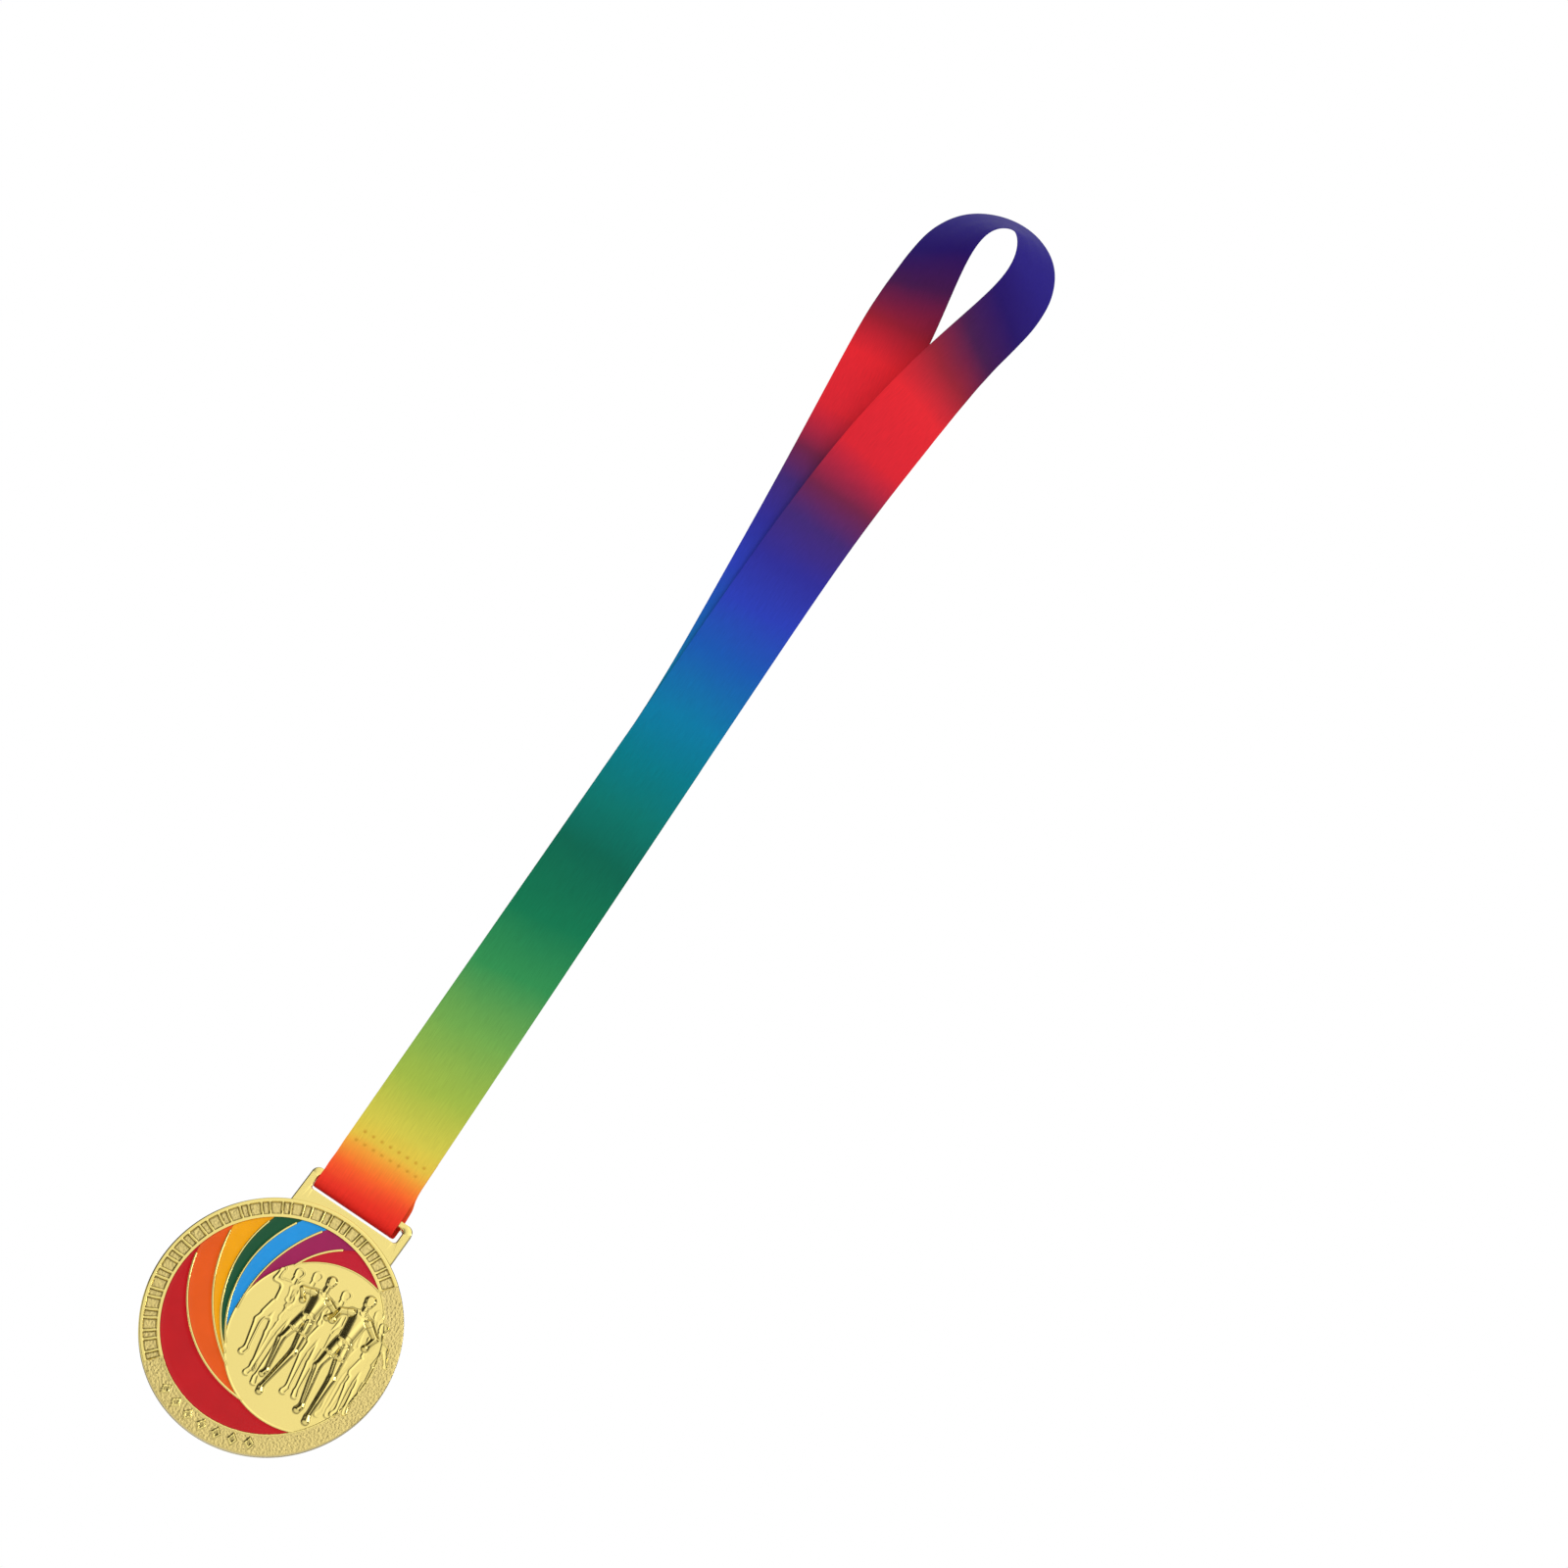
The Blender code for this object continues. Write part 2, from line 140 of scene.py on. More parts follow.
# ---------------------------------------------------------------- figures in relief
def capsule(x, z, a, b, ra, rb):
    """Signed distance to a rounded bar from a to b, of radius ra to rb."""
    ax, az = a
    dx, dz = b[0] - ax, b[1] - az
    t = np.clip(((x - ax) * dx + (z - az) * dz) / (dx * dx + dz * dz + 1e-9), 0, 1)
    return np.hypot(x - ax - t * dx, z - az - t * dz) - (ra + (rb - ra) * t)


def merged(distances, k=0.35):
    """Signed distance to several shapes blended into one."""
    stack = np.array(distances)
    low = stack.min(0)
    return low - k * np.log(np.exp(-(stack - low) / k).sum(0))


def runner(x, z, head, chest, hips, hands, elbows, knees, feet, size=1.0):
    """Signed distances to the parts of one running figure."""
    shoulder = 2.35 * size
    left, right = (chest[0] - shoulder, chest[1]), (chest[0] + shoulder, chest[1])
    nape, collar = (head[0], head[1] - 1.2 * size), (chest[0], chest[1] + 0.6)
    neck = capsule(x, z, nape, collar, 0.6 * size, 0.8 * size)
    chin, crown = (head[0], head[1] - 0.45 * size), (head[0], head[1] + 0.35 * size)
    skull = capsule(x, z, chin, crown, 1.0 * size, 1.25 * size)
    torso = merged(
        (
            capsule(x, z, left, right, 1.0 * size, 1.0 * size),
            capsule(x, z, (chest[0], chest[1] - 0.8), hips, 2.3 * size, 1.6 * size),
        )
    )
    cuffs = []
    for side in (-0.8, 0.8):
        top, hem = (hips[0] + side, hips[1] - 0.2), (hips[0] + 1.6 * side, hips[1] - 3.4)
        cuffs.append(capsule(x, z, top, hem, 1.3 * size, 1.35 * size))
    shorts = merged(cuffs)
    arms = []
    for shoulder_point, elbow, hand in ((left, elbows[0], hands[0]), (right, elbows[1], hands[1])):
        arms.append(
            merged(
                (
                    capsule(x, z, shoulder_point, elbow, 0.85 * size, 0.6 * size),
                    capsule(x, z, elbow, hand, 0.6 * size, 0.42 * size),
                    np.hypot(x - hand[0], z - hand[1]) - 0.72 * size,
                ),
                0.2,
            )
        )
    legs = []
    for side, knee, foot in ((-0.9, knees[0], feet[0]), (0.9, knees[1], feet[1])):
        hip = (hips[0] + side, hips[1] - 1.5)
        ankle = (foot[0], foot[1] + 1.1)
        legs.append(
            merged(
                (
                    capsule(x, z, hip, knee, 1.25 * size, 0.75 * size),
                    capsule(x, z, knee, ankle, 0.85 * size, 0.42 * size),
                    capsule(x, z, ankle, (foot[0] + 0.4 * side, foot[1]), 0.55 * size, 0.75 * size),
                ),
                0.2,
            )
        )
    return skull, neck, torso, shorts, arms, legs


def bulge(d, height, width):
    """Domed rise inside a shape, steep at its edge and level from the given depth inward."""
    return height * (1 - np.clip(1 + d / width, 0, 1) ** 2) * (d < 0)


def line(d, height, width):
    """Thin rounded line where d is zero."""
    return height * np.exp(-((d / width) ** 2))


def bold_runner(x, z, **pose):
    """Rounded, polished body of a front runner, with creases where the clothes end."""
    skull, neck, torso, shorts, arms, legs = runner(x, z, **pose)
    hips, chest = pose["hips"], pose["chest"]
    rise = bulge(neck, 0.3, 0.6)
    for leg in legs:
        rise = np.maximum(rise, bulge(leg, 0.5, 0.8))
    rise = np.maximum(rise, bulge(shorts, 0.56, 1.5))
    rise = np.maximum(rise, bulge(torso, 0.7, 2.3))
    rise = np.maximum(rise, bulge(skull, 0.42, 0.55))
    waist = np.abs(z - hips[1] + 0.1 * (x - hips[0]))
    rise -= line(waist, 0.2, 0.17) * (torso < 0)
    for side in (-1, 1):
        inner, outer = (hips[0] + side * 0.3, hips[1] - 4.9), (hips[0] + side * 2.9, hips[1] - 4.1)
        hem = capsule(x, z, inner, outer, 0.0, 0.0)
        rise -= line(hem, 0.22, 0.18) * (shorts < 0.15)
    crotch = capsule(x, z, (hips[0], hips[1] - 2.2), (hips[0] + 0.1, hips[1] - 5.0), 0.0, 0.0)
    rise -= line(crotch, 0.22, 0.18)
    collar = np.abs(np.hypot(x - chest[0], z - chest[1] - 1.3) - 1.1)
    rise -= line(collar, 0.14, 0.17) * (z < chest[1] + 1.0) * (torso < 0)
    for arm in arms:
        rise -= line(arm - 0.14, 0.22, 0.18) * (torso < 0.1)
        rise = np.maximum(rise, bulge(arm, 0.62, 0.62))
    shape = np.minimum.reduce([skull, neck, torso, shorts, *arms, *legs])
    rise += line(shape - 0.1, 0.06, 0.19)
    return rise, shape


def outline_runner(x, z, **pose):
    """Faint figure behind: a thin raised line round a nearly flat body."""
    skull, neck, torso, shorts, arms, legs = runner(x, z, **pose)
    body = np.minimum.reduce([neck, torso, shorts, *legs])
    shape = np.minimum.reduce([skull, body, *arms])
    rise = line(shape, 0.13, 0.24) + 0.05 * (1 - smooth(-0.3, 0.0, shape))
    rise = np.maximum(rise, line(skull, 0.13, 0.22))
    return rise, shape


FRONT_RUNNERS = (
    dict(
        head=(5.9, 16.6), chest=(6.0, 12.2), hips=(6.1, 6.2),
        elbows=((0.9, 11.4), (11.3, 11.0)), hands=((2.5, 9.0), (10.1, 8.7)),
        knees=((3.8, -1.8), (8.3, -3.0)), feet=((5.5, -11.5), (6.8, -15.4)), size=0.98,
    ),
    dict(
        head=(16.75, 17.8), chest=(17.0, 13.4), hips=(17.2, 6.2),
        elbows=((11.9, 12.2), (23.2, 11.0)), hands=((11.5, 9.0), (22.4, 7.6)),
        knees=((15.2, -2.4), (20.0, -3.4)), feet=((17.8, -14.0), (20.5, -15.2)), size=1.12,
    ),
)
BACK_RUNNERS = (
    dict(
        head=(-2.0, 13.8), chest=(-1.8, 10.0), hips=(-1.6, 4.6),
        elbows=((-5.9, 9.8), (1.8, 7.6)), hands=((-6.0, 12.8), (0.8, 5.6)),
        knees=((-3.6, -1.2), (0.4, -2.6)), feet=((-1.8, -9.8), (2.0, -11.8)), size=0.86,
    ),
    dict(
        head=(2.2, 15.6), chest=(2.4, 11.8), hips=(2.6, 6.0),
        elbows=((-1.2, 10.0), (5.2, 9.0)), hands=((-0.4, 7.0), (4.4, 6.2)),
        knees=((1.4, -2.0), (4.2, -3.4)), feet=((2.2, -13.4), (4.4, -14.4)), size=0.9,
    ),
    dict(
        head=(10.9, 15.7), chest=(11.2, 12.0), hips=(11.6, 5.6),
        elbows=((8.8, 9.6), (14.0, 9.0)), hands=((9.6, 6.6), (13.0, 6.2)),
        knees=((10.6, -2.2), (13.4, -3.0)), feet=((12.3, -12.2), (14.6, -11.6)), size=0.9,
    ),
    dict(
        head=(20.6, 16.2), chest=(21.4, 12.6), hips=(22.4, 6.4),
        elbows=((19.4, 9.8), (25.0, 9.6)), hands=((20.2, 6.6), (24.6, 6.6)),
        knees=((21.0, -1.8), (23.6, -3.0)), feet=((22.4, -12.2), (23.9, -11.0)), size=0.88,
    ),
    dict(
        head=(23.4, 14.2), chest=(24.6, 10.2), hips=(24.8, 4.4),
        elbows=((22.6, 8.0), (27.8, 8.6)), hands=((23.4, 5.8), (29.2, 6.6)),
        knees=((24.2, -2.0), (26.6, -2.6)), feet=((25.6, -10.2), (27.0, -8.4)), size=0.86,
    ),
)
BACK_STRENGTH = (1.0, 0.7, 0.8, 0.45, 0.9)


def figures(x, z):
    """Rise of the runners over the plate, distance to the nearest one and painted shade along their
    edges.
    """
    rise, nearest = np.zeros_like(x), np.full_like(x, 9.0)
    painted_shade = np.zeros_like(x)
    for pose, strength in zip(BACK_RUNNERS, BACK_STRENGTH):
        faint, shape = outline_runner(x, z, **pose)
        rise = np.maximum(rise * (1 - 0.6 * (shape < 0)), faint * strength)
        nearest = np.minimum(nearest, shape)
        # painted shade: a thin dark line just outside the edge of each faint figure behind
        painted_shade = np.maximum(painted_shade * (1 - 0.6 * (shape < 0)), line(shape - 0.22, 0.4 * strength, 0.16))
    for pose in FRONT_RUNNERS:
        body, shape = bold_runner(x, z, **pose)
        near = smooth(0.4, 0.22, shape)
        rise = rise * (1 - near) + body * near
        nearest = np.minimum(nearest, shape)
        _, _, torso, shorts, arms, _ = runner(x, z, **pose)
        # painted shade: dark lines round each front runner and round its torso, shorts and arms
        edge_shade = line(shape - 0.12, 0.7, 0.15)
        for part in (torso, shorts, *arms):
            edge_shade = np.maximum(edge_shade, line(part - 0.06, 0.5, 0.14) * (shape < 0.1))
        painted_shade = np.maximum(painted_shade * smooth(0.0, 0.4, shape), edge_shade)
    return rise, nearest, painted_shade


# ---------------------------------------------------------------- casting
def ridge_distance(x, z):
    """Distance to the nearest enamel ridge that is there at each point."""
    nearest = np.full_like(x, 9.0)
    inside = np.ones_like(x, bool)
    for cx, cz, r in RIDGES:
        d = np.hypot(x - cx, z - cz) - r
        nearest = np.where(inside, np.minimum(nearest, np.abs(d)), nearest)
        inside &= d < 0
    return nearest


def ring_height(x, z):
    """Height over the back outside the enamel field, how matte it is and how much painted shade it
    carries.
    """
    r = np.hypot(x, z)
    turn = (np.degrees(np.arctan2(z, x)) - CELLS_FROM) % 360.0
    in_cells = turn < 180.0
    pock = grain(x, z, 1.9, 1.0) * 0.6 + grain(x, z, 4.4, 7.0) * 0.5
    u = turn % CELL_PITCH
    rib = np.minimum.reduce([np.abs(u), np.abs(u - WIDE_PITCH), np.abs(u - CELL_PITCH)])
    rib = np.radians(rib) * r
    sunk = smooth(0.22, 0.38, rib) * smooth(28.15, 28.35, r) * (1 - smooth(31.3, 31.5, r))
    cells = 3.0 - 0.5 * sunk + 0.07 * pock * sunk
    inner_line = line(r - 27.6, 1.0, 0.22)
    badge = ornaments(x, z)
    hammered = 2.76 + 0.16 * inner_line + (0.13 * pock + 0.32 * badge) * (1 - inner_line)
    high = np.where(in_cells, cells, hammered)
    matte = np.where(in_cells, sunk, (1 - inner_line) * (1 - badge))
    wall = smooth(27.22, 27.38, r)
    high = 1.9 + (high - 1.9) * wall
    roll = np.clip((r - (DISC_R - 0.3)) / 0.3, 0, 1)
    # painted shade: dark lines along the walls of the sunk cells, and round the edges of the lozenges in
    # the hammered half
    edge = np.minimum(np.abs(r - 28.42), np.abs(r - 31.22))
    creases = np.maximum(line(rib - 0.42, 0.75, 0.16), line(edge, 0.6, 0.14)) * (sunk > 0.2)
    dark = np.where(in_cells, creases, 0.4 * badge * (1 - badge) * 4)
    return high - 0.3 * (1 - np.sqrt(1 - roll**2)), matte * wall, dark * wall


def ornaments(x, z):
    """Small plain lozenges along the lower left of the hammered half."""
    shape = np.zeros_like(x)
    for i in range(7):
        a = math.radians(247.0 + 8.0 * i)
        out = (math.cos(a), math.sin(a))
        du = x * out[0] + z * out[1] - 29.8
        dv = -x * out[1] + z * out[0]
        d = np.abs(du) / 1.6 + np.abs(dv) / 1.25 - 1
        shape = np.maximum(shape, 1 - smooth(-0.12, 0.12, d))
        core = np.abs(du) / 0.75 + np.abs(dv) / 0.55 - 1
        shape = shape - 0.6 * (1 - smooth(-0.15, 0.15, core))
    return np.clip(shape, 0, 1)


def casting_radii():
    """Radii of the grid's circles, close together where the height changes."""
    floor = np.linspace(2.0, 26.0, 9)
    wall = (27.1, 27.22, 27.28, 27.33, 27.38, 27.45, 27.6, 27.8, 28.0)
    cells = (np.arange(28.12, 28.45, 0.06), np.linspace(28.55, 31.2, 22), np.arange(31.28, 31.6, 0.06))
    edge = (31.8, 32.0, 32.2, 32.3, 32.38, 32.44, 32.48, 32.5)
    return np.concatenate([floor, wall, *cells, edge])


def swept(centre, across, profile, open_ends):
    """Closed bar along a flat line, from a profile of sideways and upward steps."""
    n, m = len(centre), len(profile)
    points = []
    for (x, z), (nx, nz), size in zip(centre, across, open_ends):
        for side, high in profile:
            low = 1.8 + (high - 1.8) * (0.7 + 0.3 * size)
            points.append((x + nx * side * size, -low, z + nz * side * size))
    faces = []
    for i in range(n - 1):
        for j in range(m):
            k = (j + 1) % m
            faces.append([i * m + j, i * m + k, (i + 1) * m + k, (i + 1) * m + j])
    faces += [list(range(m)), list(range((n - 1) * m, n * m))]
    return np.array(points), faces


RIDGE_PROFILE = (
    (-0.34, 1.8), (-0.34, 2.5), (-0.31, 2.8), (-0.24, 2.95), (-0.14, 3.0), (0.0, 3.0),
    (0.14, 3.0), (0.24, 2.95), (0.31, 2.8), (0.34, 2.5), (0.34, 1.8),
)


def ridge_bar(index):
    """One thin polished wall between two colours, with a rounded end near the rim."""
    cx, cz, r = RIDGES[index]
    gap = 2.0 if index == len(RIDGES) - 1 else 0.9

    def keep(x, z):
        good = np.hypot(x, z) <= FIELD_R - gap
        good &= np.hypot(x - RUNNER_X, z - RUNNER_Z) >= RUNNER_R - 0.5
        for px, pz, pr in RIDGES[:index]:
            good &= np.hypot(x - px, z - pz) <= pr
        return good

    centre = even(arc_run(cx, cz, r, keep), 170)
    if np.hypot(*centre[0]) < np.hypot(*centre[-1]):
        centre = centre[::-1]
    across = (centre - (cx, cz)) / r
    gone = np.hypot(*(centre - centre[0]).T)
    taper = np.sqrt(np.clip(1 - np.clip(1 - gone / 0.35, 0, 1) ** 2, 0.02, 1))
    return swept(centre, across, RIDGE_PROFILE, taper)


def plate_reach(turn):
    """How far the runners' plate goes from its middle in each direction."""
    dx, dz = np.cos(turn), np.sin(turn)
    reach = []
    for cx, cz, r in ((RUNNER_X, RUNNER_Z, RUNNER_R + 0.1), (0.0, 0.0, 30.6)):
        px, pz = PLATE_X - cx, PLATE_Z - cz
        along = dx * px + dz * pz
        reach.append(-along + np.sqrt(along**2 - px**2 - pz**2 + r**2))
    return np.minimum(*reach)


def build_plate():
    """The polished disc with the runners, as a fine height field on a round grid."""
    n = PLATE_STEPS
    a, b = np.meshgrid(np.linspace(-1, 1, n + 1), np.linspace(-1, 1, n + 1), indexing="ij")
    wide = np.abs(a) > np.abs(b)
    with np.errstate(divide="ignore", invalid="ignore"):
        turn = np.where(wide, math.pi / 4 * b / a, math.pi / 2 - math.pi / 4 * a / b)
    turn = np.nan_to_num(turn)
    radius = np.where(wide, a, b)
    turn = np.where(radius < 0, turn + math.pi, turn)
    reach = plate_reach(turn) * np.abs(radius)
    x, z = (PLATE_X + reach * np.cos(turn)).ravel(), (PLATE_Z + reach * np.sin(turn)).ravel()
    rise, shape, painted_shade = figures(x, z)
    edge = RUNNER_R + 0.1 - np.hypot(x - RUNNER_X, z - RUNNER_Z)
    high = 2.84 + line(edge - 0.3, 0.08, 0.2) + rise
    high -= 0.5 * (1 - np.sqrt(np.clip(1 - np.clip(1 - edge / 0.25, 0, 1) ** 2, 0, 1)))
    over_ring = smooth(27.3, 27.6, np.hypot(x, z))
    on_figure = smooth(0.16, 0.0, shape)
    high = high * (1 - over_ring) + (2.62 * (1 - on_figure) + (2.9 + rise) * on_figure) * over_ring
    points = np.c_[x, -high, z]
    m = n + 1
    i, j = np.meshgrid(np.arange(n), np.arange(n), indexing="ij")
    p = (i * m + j).ravel()
    faces = np.c_[p, p + m, p + m + 1, p + 1].tolist()
    rim = [k for k in range(m)] + [k * m + n for k in range(1, m)]
    rim += [n * m + k for k in range(n - 1, -1, -1)] + [k * m for k in range(n - 1, 0, -1)]
    low = points[rim].copy()
    low[:, 1] = -1.7
    first = len(points)
    count = len(rim)
    for k in range(count):
        after = (k + 1) % count
        faces.append([rim[k], rim[after], first + after, first + k])
        faces.append([first + k, first + after, first + count])
    points = np.vstack([points, low, [[PLATE_X, -1.7, PLATE_Z]]])
    obj = mesh_object("medal_runner_plate", points, faces)
    outward(obj, 60)
    matte, dark = np.zeros(len(points)), np.zeros(len(points))
    matte[:first] = 0.08
    # painted shade along the runners' edges, left out where the plate lies over the ring except on the
    # figures
    dark[:first] = painted_shade * (1 - over_ring * (1 - on_figure))
    point_attribute(obj, "matte", matte)
    point_attribute(obj, "dark", dark)
    return obj


def build_casting():
    """Ring and back on a round grid, with the tab and the ridges as closed shells in one mesh."""
    turns = 1080
    radii = casting_radii()
    a = np.radians(np.arange(turns) * 360.0 / turns)
    x = (radii[:, None] * np.cos(a)).ravel()
    z = (radii[:, None] * np.sin(a)).ravel()
    high, matte, painted_shade = ring_height(x, z)
    top = np.c_[x, -high, z]
    back_radii = np.array([32.5, 32.4, 32.2, 30.9, 30.7, 24.0, 12.0])
    back_high = np.array([0.25, 0.08, 0.0, 0.0, 0.14, 0.14, 0.14])
    bx = (back_radii[:, None] * np.cos(a)).ravel()
    bz = (back_radii[:, None] * np.sin(a)).ravel()
    back = np.c_[bx, -np.repeat(back_high, turns), bz]
    points = np.vstack([top, back, [[0, -1.9, 0]], [[0, -0.14, 0]]])
    faces = []
    i = np.arange(turns)
    j = (i + 1) % turns
    rings = len(radii)
    for k in range(rings - 1):
        faces.append(np.c_[k * turns + i, k * turns + j, (k + 1) * turns + j, (k + 1) * turns + i])
    last = (rings - 1) * turns
    first_back = rings * turns
    faces.append(np.c_[last + i, last + j, first_back + j, first_back + i])
    for k in range(len(back_radii) - 1):
        o = first_back + k * turns
        faces.append(np.c_[o + i, o + j, o + turns + j, o + turns + i])
    quads = np.vstack(faces).tolist()
    centre = first_back + len(back_radii) * turns
    inner_back = first_back + (len(back_radii) - 1) * turns
    caps = [[centre, b, a_] for a_, b in zip(i.tolist(), j.tolist())]
    caps += [[centre + 1, inner_back + a_, inner_back + b] for a_, b in zip(i.tolist(), j.tolist())]
    rough = np.concatenate([matte, np.repeat((0, 0, 0, 0, 0.6, 0.6, 0.6), turns), [0, 0.6]])
    parts, all_faces, offset = [points], quads + caps, len(points)
    tab_points, tab_faces = tab_shell(offset)
    parts.append(tab_points)
    all_faces += tab_faces
    offset += len(tab_points)
    for index in range(len(RIDGES)):
        bar, bar_faces = ridge_bar(index)
        all_faces += [[v + offset for v in f] for f in bar_faces]
        parts.append(bar)
        offset += len(bar)
    obj = mesh_object("medal_casting", np.vstack(parts), all_faces)
    matte = np.zeros(offset)
    matte[: len(points)] = rough
    matte[len(points) : len(points) + len(tab_points)] = 0.2
    point_attribute(obj, "matte", matte)
    # painted shade in the ring's cells and round the lozenges, from ring_height
    dark = np.zeros(offset)
    dark[: len(painted_shade)] = painted_shade
    point_attribute(obj, "dark", dark)
    outward(obj, 50)
    for polygon in obj.data.polygons:
        if polygon.area > FLAT_FACE:
            polygon.use_smooth = False
    return obj


def loop_round(half, low, high, r, steps=8, foot=None):
    """Outline of the tab or of its slot, going round once."""
    points = []
    corners = [(half - r, high - r, 0), (-half + r, high - r, 90)]
    if foot is None:
        corners += [(-half + r, low + r, 180), (half - r, low + r, 270)]
    for cx, cz, start in corners:
        for k in range(steps + 1):
            a = math.radians(start + 90.0 * k / steps)
            points.append((cx + r * math.cos(a), cz + r * math.sin(a)))
    if foot:
        end = math.degrees(math.acos(half / foot))
        for k in range(2 * steps + 2):
            a = math.radians(180 - end + (2 * end - 180) * k / (2 * steps + 1))
            points.append((foot * math.cos(a), foot * math.sin(a)))
    return np.array(points)


def shrink(outline, amount):
    """The outline moved inward by a small amount."""
    ahead = np.roll(outline, -1, 0) - np.roll(outline, 1, 0)
    ahead /= np.linalg.norm(ahead, axis=1)[:, None]
    return outline + np.c_[-ahead[:, 1], ahead[:, 0]] * amount


def tab_shell(offset):
    """Closed tab with its ribbon slot and rounded edges."""
    outer = loop_round(TAB_HALF, 0, TAB_TOP, 2.0, foot=DISC_R - 0.35)
    slot = loop_round(SLOT_HALF, SLOT_LOW, SLOT_HIGH, 0.9)
    levels = [(0.3, TAB_FRONT), (0.1, TAB_FRONT - 0.07), (0.0, TAB_FRONT - 0.3)]
    levels += [(0.0, 0.3), (0.1, 0.07), (0.3, 0.0)]
    count, inner_count = len(outer), len(slot)
    points = []
    for outline, inward in ((outer, 1), (slot, -1)):
        for amount, high in levels:
            ring = shrink(outline, amount * inward)
            points.append(np.c_[ring[:, 0], np.full(len(ring), -high), ring[:, 1]])
    faces = []
    base = offset + len(levels) * count
    for start, around, inside in ((offset, count, False), (base, inner_count, True)):
        for k in range(len(levels) - 1):
            low = start + k * around
            for i in range(around):
                j = (i + 1) % around
                near, far = (low + j, low + around + i) if not inside else (low + around + i, low + j)
                faces.append([low + i, near, low + around + j, far])
    for outer_start, inner_start in ((offset, base), (offset + 5 * count, base + 5 * inner_count)):
        faces += bridge(np.vstack(points)[:, ::2], offset, outer_start, count, inner_start, inner_count)
    return np.vstack(points), faces


def bridge(flat, offset, outer_start, outer_count, inner_start, inner_count):
    """Triangles between an outline and the slot inside it."""
    bm = bmesh.new()
    ids = [*range(outer_start, outer_start + outer_count), *range(inner_start, inner_start + inner_count)]
    verts = [bm.verts.new((flat[i - offset][0], flat[i - offset][1], 0)) for i in ids]
    edges = []
    for start, count in ((0, outer_count), (outer_count, inner_count)):
        for k in range(count):
            edges.append(bm.edges.new((verts[start + k], verts[start + (k + 1) % count])))
    bmesh.ops.triangle_fill(bm, edges=edges, use_beauty=True)
    bm.verts.index_update()
    faces = [[ids[v.index] for v in f.verts] for f in bm.faces]
    bm.free()
    return faces


# ---------------------------------------------------------------- enamel
def arc_run(cx, cz, r, keep):
    """The one stretch of a circle where keep is true, as points in order."""
    a = np.radians(np.arange(0, 360, 0.02))
    x, z = cx + r * np.cos(a), cz + r * np.sin(a)
    good = keep(x, z)
    start = int(np.argmax(good & ~np.roll(good, 1)))
    order = np.roll(np.arange(len(a)), -start)
    good = good[order]
    size = int(np.argmin(good)) if not good.all() else len(good)
    order = order[:size]
    return np.c_[x[order], z[order]]


def even(points, count):
    """The same line with its points spaced evenly."""
    length = np.concatenate([[0], np.cumsum(np.hypot(*np.diff(points, axis=0).T))])
    s = np.linspace(0, length[-1], count)
    return np.c_[np.interp(s, length, points[:, 0]), np.interp(s, length, points[:, 1])]


def arc_between(cx, cz, a, b, count):
    """Points from a to b the short way round a centre."""
    ta, tb = math.atan2(a[1] - cz, a[0] - cx), math.atan2(b[1] - cz, b[0] - cx)
    ra, rb = math.hypot(a[0] - cx, a[1] - cz), math.hypot(b[0] - cx, b[1] - cz)
    sweep = (tb - ta + math.pi) % (2 * math.pi) - math.pi
    t = np.linspace(0, 1, count)
    angle, radius = ta + sweep * t, ra + (rb - ra) * t
    return np.c_[cx + radius * np.cos(angle), cz + radius * np.sin(angle)]


def region_sides(index):
    """The two long sides of one enamel area, both from the rim end."""
    rim, disc = FIELD_R - 0.1, RUNNER_R + 0.04

    def allowed(x, z, upto):
        good = (np.hypot(x, z) <= rim + 1e-6) & (np.hypot(x - RUNNER_X, z - RUNNER_Z) >= disc - 1e-6)
        for cx, cz, r in RIDGES[:upto]:
            good &= np.hypot(x - cx, z - cz) <= r - EDGE + 1e-6
        return good

    if index == 0:
        cx, cz, r = RIDGES[0]
        outer = arc_run(0, 0, rim, lambda x, z: allowed(x, z, 0) & (np.hypot(x - cx, z - cz) >= r + EDGE))
    else:
        cx, cz, r = RIDGES[index - 1]
        outer = arc_run(cx, cz, r - EDGE, lambda x, z: allowed(x, z, index - 1))
    if index == len(RIDGES):
        inner = arc_run(RUNNER_X, RUNNER_Z, disc, lambda x, z: allowed(x, z, index) & (z > 0))
    else:
        cx, cz, r = RIDGES[index]
        inner = arc_run(cx, cz, r + EDGE, lambda x, z: allowed(x, z, index))
    return outer, inner


def orient(outer, inner, index):
    """Both sides turned to start at the rim."""
    if index == 0:
        if outer[0][1] < outer[-1][1]:
            outer = outer[::-1]
    elif np.hypot(*outer[0]) < np.hypot(*outer[-1]):
        outer = outer[::-1]
    if np.hypot(*inner[0]) < np.hypot(*inner[-1]):
        inner = inner[::-1]
    return outer, inner


